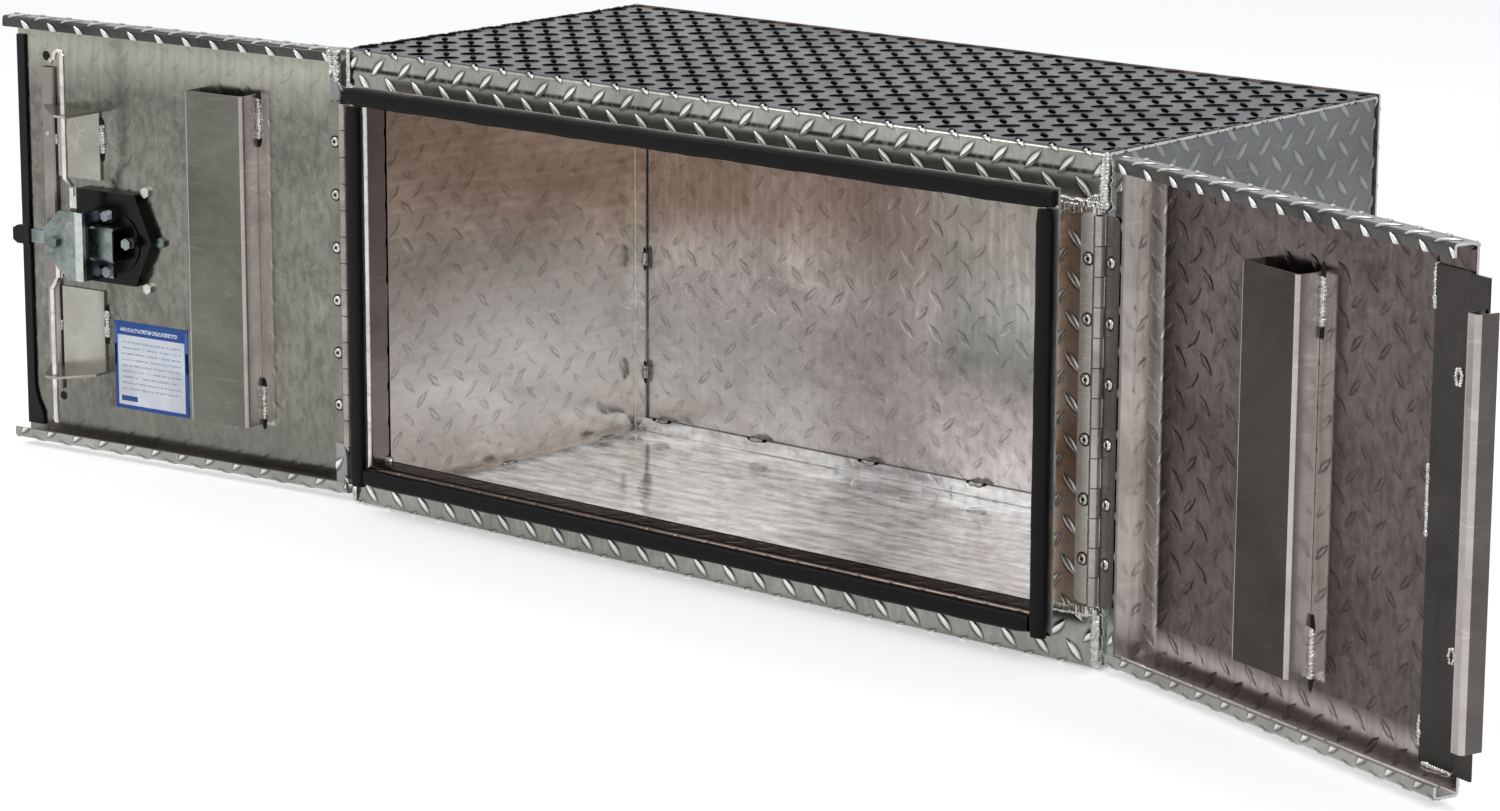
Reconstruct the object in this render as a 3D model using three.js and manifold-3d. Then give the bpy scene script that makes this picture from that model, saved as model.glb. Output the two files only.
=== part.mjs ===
// Underbody truck tool box: a tread-plate body with a seal ring, and two barn doors on piano
// hinges. The left door carries a paddle latch with a cam and two rods, the right door an
// overlap plate and the strike. Millimetres, +Z up, the opening faces -Y, and the origin is
// the centre of the underside.
import * as THREE from 'three';
import { mergeVertices } from 'three/addons/utils/BufferGeometryUtils.js';
import Module from 'manifold-3d';

const wasm = await Module();
wasm.setup();

// Overall size, and how far each door stands open, in degrees from closed.
const BODY_WIDTH = 914.4;
const BODY_HEIGHT = 457.2;
const BODY_DEPTH = 425.5;
const LEFT_DOOR_OPEN_DEGREES = 173.4;
const RIGHT_DOOR_OPEN_DEGREES = 161.5;

// Tread sheet over its raised lugs, plain sheet, bends and the fitting gap.
const TREAD_THICK = 4.0;
const SHEET_THICK = 2.5;
const BEND_RADIUS = 1.5;
const BEND_STEPS = 3;
const GAP = 0.3;
const CUT_MARGIN = 20.0;
const ROUND_SIDES = 16;
const SMALL_ROUND_SIDES = 12;
const HEX_SIDES = 6;

// Front frame of the body, the lip around the opening and the flanges at the back.
const FRAME_WIDTH = 50.8;
const LIP_DEPTH = 25.4;
const RETURN_WIDTH = 19.4;
const REAR_FLANGE = 18.0;
const SEAL_WIDTH = 18.5;
const SEAL_THICK = 10.0;
const SEAL_ROUND = 3.0;
const SEAL_SIDE_FOOT = 30.0;

// Piano hinges.
const HINGE_FOOT = 60.0;
const HINGE_HEAD = 54.0;
const KNUCKLE_COUNT = 13;
const KNUCKLE_RADIUS = 5.5;
const PIN_RADIUS = 3.0;
const BORE_CLEARANCE = 0.3;
const LEAF_THICK = 2.3;
const LEAF_WIDTH = 22.0;
const LEAF_CORNER = 6.0;
const AXIS_INSET = 2.0;
const LEAF_NOTCH = 0.5;
const RIVET_COUNT = 6;
const RIVET_EVERY = 2;
const RIVET_RADIUS = 4.2;
const RIVET_TOP_RADIUS = 2.6;
const RIVET_HEIGHT = 1.7;
const RIVET_OFFSET = 13.5;

// Door pans: a skin with a rim on three sides, open at the free edge.
const DOOR_FOOT = 6.4;
const DOOR_HEAD_GAP = 3.2;
const DOOR_HINGE_EDGE = 10.0;
const DOOR_FREE_GAP = 2.0;
const DOOR_DEPTH = 28.4;
const DOOR_LIP_HEIGHT = 12.7;
const DOOR_LIP_WIDTH = 14.0;

// Stiffeners: channels that stand on the skins. A size that ends in IN runs from the line where
// the doors meet, one that ends in HEAD from the door's top.
const STIFFENER_WIDTH = 76.0;
const STIFFENER_FOOT = 59.0;
const STIFFENER_HEAD = 58.0;
const STIFFENER_INSET = 0.7;
const LEFT_STIFFENER_IN = 320.2;
const RIGHT_STIFFENER_IN = 267.2;

// Overlap plate and strike channel on the right door.
const PLATE_START_IN = 46.2;
const PLATE_JOGGLE_IN = 5.2;
const PLATE_JOGGLE_END_IN = -0.8;
const PLATE_END_IN = -20.8;
const PLATE_JOGGLE = 3.8;
const PLATE_FOOT = 27.0;
const PLATE_HEAD = 26.0;
const STRIKE_START_IN = -16.8;
const STRIKE_WIDTH = 15.0;
const STRIKE_FOOT = 54.0;
const STRIKE_HEAD = 51.0;
const STRIKE_LEVEL = 1.0;
const STRIKE_LONG_LEG = 21.0;

// Trim on the left door: edge rubber, edge strip and a blank card.
const RUBBER_START_IN = 20.2;
const RUBBER_END_IN = 2.2;
const RUBBER_THICK = 3.0;
const RUBBER_FOOT = 20.0;
const RUBBER_HEAD = 24.0;
const RUBBER_FLARE_TOP = 52.0;
const RUBBER_FLARE = 9.0;
const STRIP_START_IN = 52.2;
const STRIP_END_IN = 35.2;
const STRIP_HEIGHT = 5.0;
const STRIP_FOOT = 62.0;
const STRIP_HEAD = 54.0;
const CARD_START_IN = 222.2;
const CARD_END_IN = 123.2;
const CARD_HEIGHT = 92.0;
const CARD_BELOW_TRAY = 40.5;
const CARD_THICK = 0.3;
const CARD_GAP = 0.1;

// Latch tray: a pentagon dish let into the left door, pointing at the hinge.
const TRAY_POINT_IN = 185.2;
const TRAY_SHOULDER_IN = 163.2;
const TRAY_FREE_IN = 86.2;
const TRAY_BELOW = 44.0;
const TRAY_ABOVE = 51.0;
const TRAY_WALL = 2.0;
const TRAY_RISE = 10.0;
const BEZEL_MARGIN = 11.0;
const BEZEL_THICK = 2.5;
const TRAY_RING_RADIUS = 31.0;
const TRAY_RING_WIDTH = 2.0;
const TRAY_RING_HEIGHT = 1.6;
const TRAY_RING_IN = 139.2;
const FINGER_SLOT_START_IN = 154.2;
const FINGER_SLOT_END_IN = 124.2;
const FINGER_SLOT_HEIGHT = 20.0;
const TRAY_BOLT_INSET = 9.0;
const TRAY_BOLT_OUT = 2.5;
const TRAY_BOLT_POINT_INSET = 6.5;

// Paddle, lock and the lever that the paddle draws.
const LATCH_DROP = 0.6;
const PADDLE_AXIS_IN = 105.2;
const PADDLE_AXIS_LEVEL = -26.4;
const PADDLE_END_IN = 162.7;
const PADDLE_BACK_IN = 96.2;
const PADDLE_HEIGHT = 62.0;
const PADDLE_THICK = 2.6;
const PADDLE_LEVEL = -28.9;
const PADDLE_BARREL_RADIUS = 4.0;
const PADDLE_PIN_RADIUS = 2.0;
const PADDLE_PIN_OVERRUN = 7.0;
const PADDLE_LUG_WIDTH = 9.0;
const PADDLE_LUG_HEIGHT = 5.0;
const FINGER_IN = 132.2;
const FINGER_THICK = 4.0;
const FINGER_HEIGHT = 12.0;
const FINGER_LEVEL = -1.0;
const LOCK_IN = 152.2;
const LOCK_ABOVE = 18.0;
const LOCK_RADIUS = 7.0;
const LOCK_FACE = 1.5;
const LOCK_TAIL = 3.5;
const PLUG_RADIUS = 4.6;
const KEYWAY_WIDTH = 1.2;
const KEYWAY_HEIGHT = 5.6;
const KEYWAY_DEPTH = 2.2;
const LEVER_START_IN = 148.2;
const LEVER_END_IN = 117.2;
const LEVER_NECK_IN = 93.2;
const LEVER_NECK_HEIGHT = 14.0;
const LEVER_HEIGHT = 36.0;
const LEVER_BELOW = 1.0;
const LEVER_LEVEL = 1.0;

// Latch bracket over the tray, its feet and its bolts.
const BRACKET_START_IN = 120.2;
const BRACKET_SHOULDER_IN = 91.2;
const BRACKET_NOSE_IN = 70.2;
const BRACKET_BELOW = 38.0;
const BRACKET_ABOVE = 33.0;
const BRACKET_SLOPE_IN = 102.2;
const BRACKET_NOSE_ABOVE = 13.0;
const BRACKET_NOSE_BELOW = 13.0;
const BRACKET_LEVEL = 17.4;
const BRACKET_WINDOW_ABOVE = 20.0;
const BRACKET_WINDOW_LEVEL = 11.0;
const BRACKET_TOE_LENGTH = 15.0;
const BRACKET_BOLT_INSET = 8.0;
const BRACKET_BOLT_RISE = 6.5;
const BOLT_RADIUS = 3.0;
const BOLT_HEAD_RADIUS = 5.6;
const BOLT_HEAD_HEIGHT = 4.0;
const STOP_BOLT_IN = 161.7;
const STOP_BOLT_ABOVE = 2.0;
const STOP_BOLT_HEAD_RADIUS = 6.4;
const STOP_BOLT_HEIGHT = 13.0;

// Cam with its rubber-tipped tongue, the pivot bolt and the two rods.
const PIVOT_IN = 85.2;
const CAM_LEVEL = 4.0;
const CAM_THICK = 3.0;
const CAM_HUB_RADIUS = 12.0;
const TONGUE_HALF_HEIGHT = 7.0;
const TONGUE_END_IN = 25.2;
const TIP_START_IN = 39.2;
const TIP_END_IN = 17.2;
const TIP_HALF_HEIGHT = 9.5;
const TIP_SHORT_HALF = 6.0;
const TIP_BEVEL = 6.0;
const TIP_WALL = 2.4;
const UPPER_ROD_IN = 102.2;
const UPPER_EYE_ABOVE = 12.0;
const LOWER_ROD_IN = 80.2;
const LOWER_EYE_BELOW = 21.5;
const ARM_RADIUS = 6.5;
const ROD_RADIUS = 3.0;
const ROD_LEVEL = 20.0;
const STRAP_THICK = 2.5;
const STRAP_HALF_WIDTH = 4.5;
const UPPER_STRAP_ABOVE = 58.0;
const UPPER_JOGGLE_ABOVE = 68.0;
const UPPER_ROD_HEAD = 30.0;
const LOWER_STRAP_BELOW = 40.0;
const LOWER_JOGGLE_BELOW = 50.0;
const LOWER_ROD_FOOT = 30.6;
const COLLAR_RADIUS = 4.6;
const COLLAR_LENGTH = 4.0;
const LOWER_COLLAR_RISE = 5.0;
const PIVOT_HEAD_RADIUS = 6.6;
const PIVOT_HEAD_HEIGHT = 4.6;
const PIVOT_COLLAR_RADIUS = 7.0;

// Rod guides: a sheet on the skin with a fin that the rod runs through.
const GUIDE_START_IN = 112.2;
const GUIDE_END_IN = 55.2;
const GUIDE_FIN_END_IN = 36.2;
const GUIDE_FIN_LEVEL = 27.0;
const GUIDE_FIN_SHORT = -6.0;
const GUIDE_NOSE_HALF = 8.0;
const GUIDE_THICK = 2.5;
const GUIDE_HOLE_CLEARANCE = 0.6;
const UPPER_GUIDE_ABOVE = 60.0;
const UPPER_GUIDE_HEIGHT = 73.0;
const LOWER_GUIDE_HEIGHT = 87.0;
const LOWER_GUIDE_BELOW = 56.0;

// Derived planes. y runs from the front of the frame to the back.
const HALF_WIDTH = BODY_WIDTH / 2;
const FRONT_Y = -BODY_DEPTH / 2;
const BACK_Y = BODY_DEPTH / 2;
const OPENING_HALF_WIDTH = HALF_WIDTH - FRAME_WIDTH;
const OPENING_FOOT = FRAME_WIDTH;
const OPENING_TOP = BODY_HEIGHT - FRAME_WIDTH;
const RETURN_OUTER = OPENING_HALF_WIDTH + RETURN_WIDTH;
const RETURN_Y = FRONT_Y - LIP_DEPTH;
const SEAL_INSET = RETURN_WIDTH - SEAL_WIDTH;
const SHELL_BACK_Y = BACK_Y - TREAD_THICK - GAP;
const AXIS_X = HALF_WIDTH - AXIS_INSET;
const AXIS_Y = FRONT_Y - GAP - KNUCKLE_RADIUS;
const DOOR_LIP_Y = AXIS_Y - KNUCKLE_RADIUS - GAP;
const DOOR_OUTER_Y = DOOR_LIP_Y - DOOR_DEPTH;
const SKIN_Y = DOOR_OUTER_Y + TREAD_THICK;
const SKIN_LEVEL = SKIN_Y - DOOR_LIP_Y;
const DOOR_TOP = BODY_HEIGHT - DOOR_HEAD_GAP;
const KNUCKLE_PITCH = (BODY_HEIGHT - HINGE_FOOT - HINGE_HEAD) / KNUCKLE_COUNT;
const HINGE_TOP = HINGE_FOOT + KNUCKLE_PITCH * KNUCKLE_COUNT;
const HINGE_MIDDLE = (HINGE_FOOT + HINGE_TOP) / 2;
const TRAY_LEVEL = SKIN_LEVEL + TRAY_RISE;
const LEFT = -1;
const RIGHT = 1;

// Heights that follow the door's edges, the box's middle or the latch.
const RIVET_PITCH = KNUCKLE_PITCH * RIVET_EVERY;
const STIFFENER_TOP = DOOR_TOP - STIFFENER_HEAD;
const PLATE_TOP = DOOR_TOP - PLATE_HEAD;
const STRIKE_TOP = DOOR_TOP - STRIKE_HEAD;
const RUBBER_TOP = DOOR_TOP - RUBBER_HEAD;
const STRIP_TOP = DOOR_TOP - STRIP_HEAD;
const UPPER_ROD_TIP = DOOR_TOP - UPPER_ROD_HEAD;
const LATCH_Z = BODY_HEIGHT / 2 - LATCH_DROP;
const TRAY_FOOT = LATCH_Z - TRAY_BELOW;
const TRAY_TOP = LATCH_Z + TRAY_ABOVE;
const LOCK_Z = LATCH_Z + LOCK_ABOVE;
const LEVER_Z = LATCH_Z - LEVER_BELOW;
const BRACKET_FOOT = LATCH_Z - BRACKET_BELOW;
const BRACKET_TOP = LATCH_Z + BRACKET_ABOVE;
const BRACKET_NOSE_TOP = LATCH_Z + BRACKET_NOSE_ABOVE;
const BRACKET_NOSE_FOOT = LATCH_Z - BRACKET_NOSE_BELOW;
const BRACKET_WINDOW_TOP = LATCH_Z + BRACKET_WINDOW_ABOVE;
const STOP_BOLT_Z = LATCH_Z + STOP_BOLT_ABOVE;
const UPPER_EYE_Z = LATCH_Z + UPPER_EYE_ABOVE;
const LOWER_EYE_Z = LATCH_Z - LOWER_EYE_BELOW;
const UPPER_STRAP_END = LATCH_Z + UPPER_STRAP_ABOVE;
const UPPER_JOGGLE_END = LATCH_Z + UPPER_JOGGLE_ABOVE;
const LOWER_STRAP_END = LATCH_Z - LOWER_STRAP_BELOW;
const LOWER_JOGGLE_END = LATCH_Z - LOWER_JOGGLE_BELOW;
const UPPER_GUIDE_FOOT = LATCH_Z + UPPER_GUIDE_ABOVE;
const LOWER_GUIDE_TOP = LATCH_Z - LOWER_GUIDE_BELOW;
const UPPER_GUIDE_TOP = UPPER_GUIDE_FOOT + UPPER_GUIDE_HEIGHT;
const LOWER_GUIDE_FOOT = LOWER_GUIDE_TOP - LOWER_GUIDE_HEIGHT;
const LOWER_ROD_TIP = DOOR_FOOT + LOWER_ROD_FOOT;
const LOWER_COLLAR_Z = LOWER_ROD_TIP + LOWER_COLLAR_RISE;
const CARD_TOP = TRAY_FOOT - CARD_BELOW_TRAY;
const CARD_FOOT = CARD_TOP - CARD_HEIGHT;

// Places along a door, from the box's side. The sizes above give them from the doors' meeting line.
const LEFT_STIFFENER_S = HALF_WIDTH - LEFT_STIFFENER_IN;
const RIGHT_STIFFENER_S = HALF_WIDTH - RIGHT_STIFFENER_IN;
const PLATE_START_S = HALF_WIDTH - PLATE_START_IN;
const PLATE_JOGGLE_S = HALF_WIDTH - PLATE_JOGGLE_IN;
const PLATE_JOGGLE_END_S = HALF_WIDTH - PLATE_JOGGLE_END_IN;
const PLATE_END_S = HALF_WIDTH - PLATE_END_IN;
const STRIKE_START_S = HALF_WIDTH - STRIKE_START_IN;
const RUBBER_START_S = HALF_WIDTH - RUBBER_START_IN;
const RUBBER_END_S = HALF_WIDTH - RUBBER_END_IN;
const STRIP_START_S = HALF_WIDTH - STRIP_START_IN;
const STRIP_END_S = HALF_WIDTH - STRIP_END_IN;
const CARD_START_S = HALF_WIDTH - CARD_START_IN;
const CARD_END_S = HALF_WIDTH - CARD_END_IN;
const TRAY_POINT_S = HALF_WIDTH - TRAY_POINT_IN;
const TRAY_SHOULDER_S = HALF_WIDTH - TRAY_SHOULDER_IN;
const TRAY_FREE_S = HALF_WIDTH - TRAY_FREE_IN;
const TRAY_RING_S = HALF_WIDTH - TRAY_RING_IN;
const FINGER_SLOT_START_S = HALF_WIDTH - FINGER_SLOT_START_IN;
const FINGER_SLOT_END_S = HALF_WIDTH - FINGER_SLOT_END_IN;
const PADDLE_AXIS_S = HALF_WIDTH - PADDLE_AXIS_IN;
const PADDLE_END_S = HALF_WIDTH - PADDLE_END_IN;
const PADDLE_BACK_S = HALF_WIDTH - PADDLE_BACK_IN;
const FINGER_S = HALF_WIDTH - FINGER_IN;
const LOCK_S = HALF_WIDTH - LOCK_IN;
const LEVER_START_S = HALF_WIDTH - LEVER_START_IN;
const LEVER_END_S = HALF_WIDTH - LEVER_END_IN;
const LEVER_NECK_S = HALF_WIDTH - LEVER_NECK_IN;
const BRACKET_START_S = HALF_WIDTH - BRACKET_START_IN;
const BRACKET_SHOULDER_S = HALF_WIDTH - BRACKET_SHOULDER_IN;
const BRACKET_NOSE_S = HALF_WIDTH - BRACKET_NOSE_IN;
const BRACKET_SLOPE_S = HALF_WIDTH - BRACKET_SLOPE_IN;
const STOP_BOLT_S = HALF_WIDTH - STOP_BOLT_IN;
const PIVOT_S = HALF_WIDTH - PIVOT_IN;
const TONGUE_END_S = HALF_WIDTH - TONGUE_END_IN;
const TIP_START_S = HALF_WIDTH - TIP_START_IN;
const TIP_END_S = HALF_WIDTH - TIP_END_IN;
const UPPER_ROD_S = HALF_WIDTH - UPPER_ROD_IN;
const LOWER_ROD_S = HALF_WIDTH - LOWER_ROD_IN;
const GUIDE_START_S = HALF_WIDTH - GUIDE_START_IN;
const GUIDE_END_S = HALF_WIDTH - GUIDE_END_IN;
const GUIDE_FIN_END_S = HALF_WIDTH - GUIDE_FIN_END_IN;

// Solids from plain shapes.
function solidOf(geometry) {
  const bare = new THREE.BufferGeometry();
  bare.setAttribute('position', geometry.getAttribute('position').clone());
  if (geometry.index) {
    bare.setIndex(geometry.index.clone());
  }
  const merged = mergeVertices(bare);
  const mesh = new wasm.Mesh({
    numProp: 3,
    vertProperties: new Float32Array(merged.getAttribute('position').array),
    triVerts: new Uint32Array(merged.index.array),
  });
  return new wasm.Manifold(mesh);
}

function block(x0, x1, y0, y1, z0, z1) {
  const geometry = new THREE.BoxGeometry(Math.abs(x1 - x0), Math.abs(y1 - y0), Math.abs(z1 - z0));
  geometry.translate((x0 + x1) / 2, (y0 + y1) / 2, (z0 + z1) / 2);
  return solidOf(geometry);
}

function extruded(points, depth, matrix) {
  const shape = new THREE.Shape(points.map(([a, b]) => new THREE.Vector2(a, b)));
  const geometry = new THREE.ExtrudeGeometry(shape, { depth, bevelEnabled: false, steps: 1 });
  geometry.applyMatrix4(matrix);
  return solidOf(geometry);
}

// Points are [y, z] and the prism runs along x.
function prismX(points, x0, x1) {
  const start = Math.min(x0, x1);
  const matrix = new THREE.Matrix4().set(0, 0, 1, start, 1, 0, 0, 0, 0, 1, 0, 0, 0, 0, 0, 1);
  return extruded(points, Math.abs(x1 - x0), matrix);
}

// Points are [x, z] and the prism runs along y.
function prismY(points, y0, y1) {
  const end = Math.max(y0, y1);
  const matrix = new THREE.Matrix4().set(1, 0, 0, 0, 0, 0, -1, end, 0, 1, 0, 0, 0, 0, 0, 1);
  return extruded(points, Math.abs(y1 - y0), matrix);
}

// Points are [x, y] and the prism runs along z.
function prismZ(points, z0, z1) {
  const start = Math.min(z0, z1);
  const matrix = new THREE.Matrix4().makeTranslation(0, 0, start);
  return extruded(points, Math.abs(z1 - z0), matrix);
}

function roundBar(from, to, radius, sides, endRadius = radius) {
  const start = new THREE.Vector3(...from);
  const end = new THREE.Vector3(...to);
  const along = end.clone().sub(start);
  const geometry = new THREE.CylinderGeometry(endRadius, radius, along.length(), sides);
  const turn = new THREE.Quaternion();
  turn.setFromUnitVectors(new THREE.Vector3(0, 1, 0), along.clone().normalize());
  geometry.applyQuaternion(turn);
  const middle = start.add(end).multiplyScalar(0.5);
  geometry.translate(middle.x, middle.y, middle.z);
  return solidOf(geometry);
}

function ball(centre, radius) {
  const geometry = new THREE.SphereGeometry(radius, SMALL_ROUND_SIDES, SMALL_ROUND_SIDES / 2);
  geometry.translate(...centre);
  return solidOf(geometry);
}

function joined(...solids) {
  return solids.reduce((whole, next) => whole.add(next));
}

function cutBy(solid, ...tools) {
  return tools.reduce((left, tool) => left.subtract(tool), solid);
}

// Outline of a folded sheet whose middle line follows the path, with rounded bends.
function unit(a, b) {
  const length = Math.hypot(b[0] - a[0], b[1] - a[1]);
  return [(b[0] - a[0]) / length, (b[1] - a[1]) / length];
}

function offsetPath(path, distance) {
  return path.map((point, i) => {
    const before = i > 0 ? unit(path[i - 1], point) : unit(point, path[i + 1]);
    const after = i < path.length - 1 ? unit(point, path[i + 1]) : before;
    const scale = distance / (1 + before[0] * after[0] + before[1] * after[1]);
    return [point[0] - (before[1] + after[1]) * scale, point[1] + (before[0] + after[0]) * scale];
  });
}

function filleted(path, radius) {
  const out = [path[0]];
  for (let i = 1; i < path.length - 1; i += 1) {
    const before = unit(path[i - 1], path[i]);
    const after = unit(path[i], path[i + 1]);
    const cross = before[0] * after[1] - before[1] * after[0];
    const turn = Math.atan2(cross, before[0] * after[0] + before[1] * after[1]);
    const side = Math.sign(turn);
    const reach = radius * Math.tan(Math.abs(turn) / 2);
    const start = [path[i][0] - before[0] * reach, path[i][1] - before[1] * reach];
    const centre = [start[0] - before[1] * radius * side, start[1] + before[0] * radius * side];
    for (let k = 0; k <= BEND_STEPS; k += 1) {
      const angle = (turn * k) / BEND_STEPS;
      const arm = [start[0] - centre[0], start[1] - centre[1]];
      const x = centre[0] + arm[0] * Math.cos(angle) - arm[1] * Math.sin(angle);
      const y = centre[1] + arm[0] * Math.sin(angle) + arm[1] * Math.cos(angle);
      out.push([x, y]);
    }
  }
  out.push(path[path.length - 1]);
  return out;
}

// The path runs along the outer face, and the sheet lies to its left.
function folded(path, thick) {
  const middle = filleted(offsetPath(path, thick / 2), BEND_RADIUS + thick / 2);
  return [...offsetPath(middle, thick / 2), ...offsetPath(middle, -thick / 2).reverse()];
}

function roundedRect(a0, a1, b0, b1, radius) {
  const points = [];
  const corners = [[a1, b1, 0], [a0, b1, 1], [a0, b0, 2], [a1, b0, 3]];
  for (const [a, b, quarter] of corners) {
    const ca = a === a1 ? a1 - radius : a0 + radius;
    const cb = b === b1 ? b1 - radius : b0 + radius;
    for (let k = 0; k <= BEND_STEPS; k += 1) {
      const angle = (Math.PI / 2) * (quarter + k / BEND_STEPS);
      points.push([ca + radius * Math.cos(angle), cb + radius * Math.sin(angle)]);
    }
  }
  return points;
}

function circle(a, b, radius, sides) {
  return Array.from({ length: sides }, (_, i) => {
    const angle = ((i + 0.5) * 2 * Math.PI) / sides;
    return [a + radius * Math.cos(angle), b + radius * Math.sin(angle)];
  });
}

// Materials and the finished group.
function material(colour, metalness, roughness) {
  return new THREE.MeshStandardMaterial({ color: colour, metalness, roughness });
}

const looks = {
  tread: () => material(0xa9abaa, 0.9, 0.32),
  plain: () => material(0x9c9a94, 0.9, 0.38),
  zinc: () => material(0x8b9498, 0.85, 0.4),
  steel: () => material(0xb4b4b0, 0.9, 0.3),
  rubber: () => material(0x101010, 0.0, 0.85),
  black: () => material(0x0c0c0d, 0.1, 0.5),
  card: () => material(0xdfe5ee, 0.0, 0.6),
};

const group = new THREE.Group();
group.name = 'underbody_tool_box';

function meshOf(name, solid, look, matrix) {
  const { vertProperties, triVerts } = solid.getMesh();
  const geometry = new THREE.BufferGeometry();
  geometry.setAttribute('position', new THREE.BufferAttribute(Float32Array.from(vertProperties), 3));
  geometry.setIndex(new THREE.BufferAttribute(Uint32Array.from(triVerts), 1));
  if (matrix) {
    geometry.applyMatrix4(matrix);
  }
  geometry.computeVertexNormals();
  const mesh = new THREE.Mesh(geometry, look());
  mesh.name = name;
  group.add(mesh);
}

function openedDoor(side, degrees) {
  const angle = (side * degrees * Math.PI) / 180;
  const away = new THREE.Matrix4().makeTranslation(-side * AXIS_X, -AXIS_Y, 0);
  const turn = new THREE.Matrix4().makeRotationZ(angle);
  const back = new THREE.Matrix4().makeTranslation(side * AXIS_X, AXIS_Y, 0);
  return back.multiply(turn).multiply(away);
}

const placed = {
  [LEFT]: openedDoor(LEFT, LEFT_DOOR_OPEN_DEGREES),
  [RIGHT]: openedDoor(RIGHT, RIGHT_DOOR_OPEN_DEGREES),
};

// Body: each panel is one folded sheet with its share of the front frame and lip.
function ringCut(upright, sign) {
  // Wedge that ends a lip and return at the corner mitres.
  const reach = RETURN_OUTER + CUT_MARGIN;
  const half = BODY_HEIGHT / 2;
  const near = [OPENING_HALF_WIDTH - CUT_MARGIN, OPENING_TOP - half - CUT_MARGIN];
  const far = [reach, OPENING_TOP - half + reach - OPENING_HALF_WIDTH];
  const slip = GAP / 2;
  const wedge = upright
    ? [[near[0], near[1] + slip], [far[0], far[1] + slip], [far[0], -half], [near[0], -half]]
    : [[near[0] + slip, near[1]], [far[0] + slip, far[1]], [0, far[1]], [0, near[1]]];
  const mirrored = wedge.map(([a, b]) => [a * sign[0], b * sign[1] + half]);
  return prismY(mirrored, RETURN_Y - CUT_MARGIN, FRONT_Y);
}

function lipProfile(edge, outward) {
  const ring = edge + outward * RETURN_WIDTH;
  const path = [[FRONT_Y + TREAD_THICK, edge], [RETURN_Y, edge], [RETURN_Y, ring]];
  return outward > 0 ? folded(path.reverse(), SHEET_THICK) : folded(path, SHEET_THICK);
}

function levelPanel(sign) {
  // sign is 1 for the roof and -1 for the floor.
  const middle = BODY_HEIGHT / 2;
  const at = (height) => middle + sign * (height - middle);
  const shell = [
    [SHELL_BACK_Y, at(BODY_HEIGHT - REAR_FLANGE)],
    [SHELL_BACK_Y, at(BODY_HEIGHT)],
    [FRONT_Y, at(BODY_HEIGHT)],
    [FRONT_Y, at(OPENING_TOP)],
  ];
  const path = sign > 0 ? shell : shell.reverse();
  let panel = prismX(folded(path, TREAD_THICK), -HALF_WIDTH, HALF_WIDTH);
  const inner = HALF_WIDTH - TREAD_THICK - GAP;
  for (const side of [LEFT, RIGHT]) {
    const x0 = side * inner;
    const x1 = side * (HALF_WIDTH + CUT_MARGIN);
    const y0 = FRONT_Y + TREAD_THICK + GAP;
    const z0 = at(BODY_HEIGHT - TREAD_THICK);
    const z1 = at(BODY_HEIGHT - REAR_FLANGE - CUT_MARGIN);
    panel = panel.subtract(block(x0, x1, y0, BACK_Y, z0, z1));
  }
  const lip = prismX(lipProfile(at(OPENING_TOP), sign), -RETURN_OUTER, RETURN_OUTER);
  const forward = lip.subtract(block(-BODY_WIDTH, BODY_WIDTH, FRONT_Y, BACK_Y, 0, BODY_HEIGHT));
  const trimmed = cutBy(forward, ringCut(true, [1, sign]), ringCut(true, [-1, sign]));
  const root = lip.intersect(
    block(-OPENING_HALF_WIDTH, OPENING_HALF_WIDTH, FRONT_Y - GAP, FRONT_Y + TREAD_THICK, 0, BODY_HEIGHT),
  );
  return joined(panel, trimmed, root);
}

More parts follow.
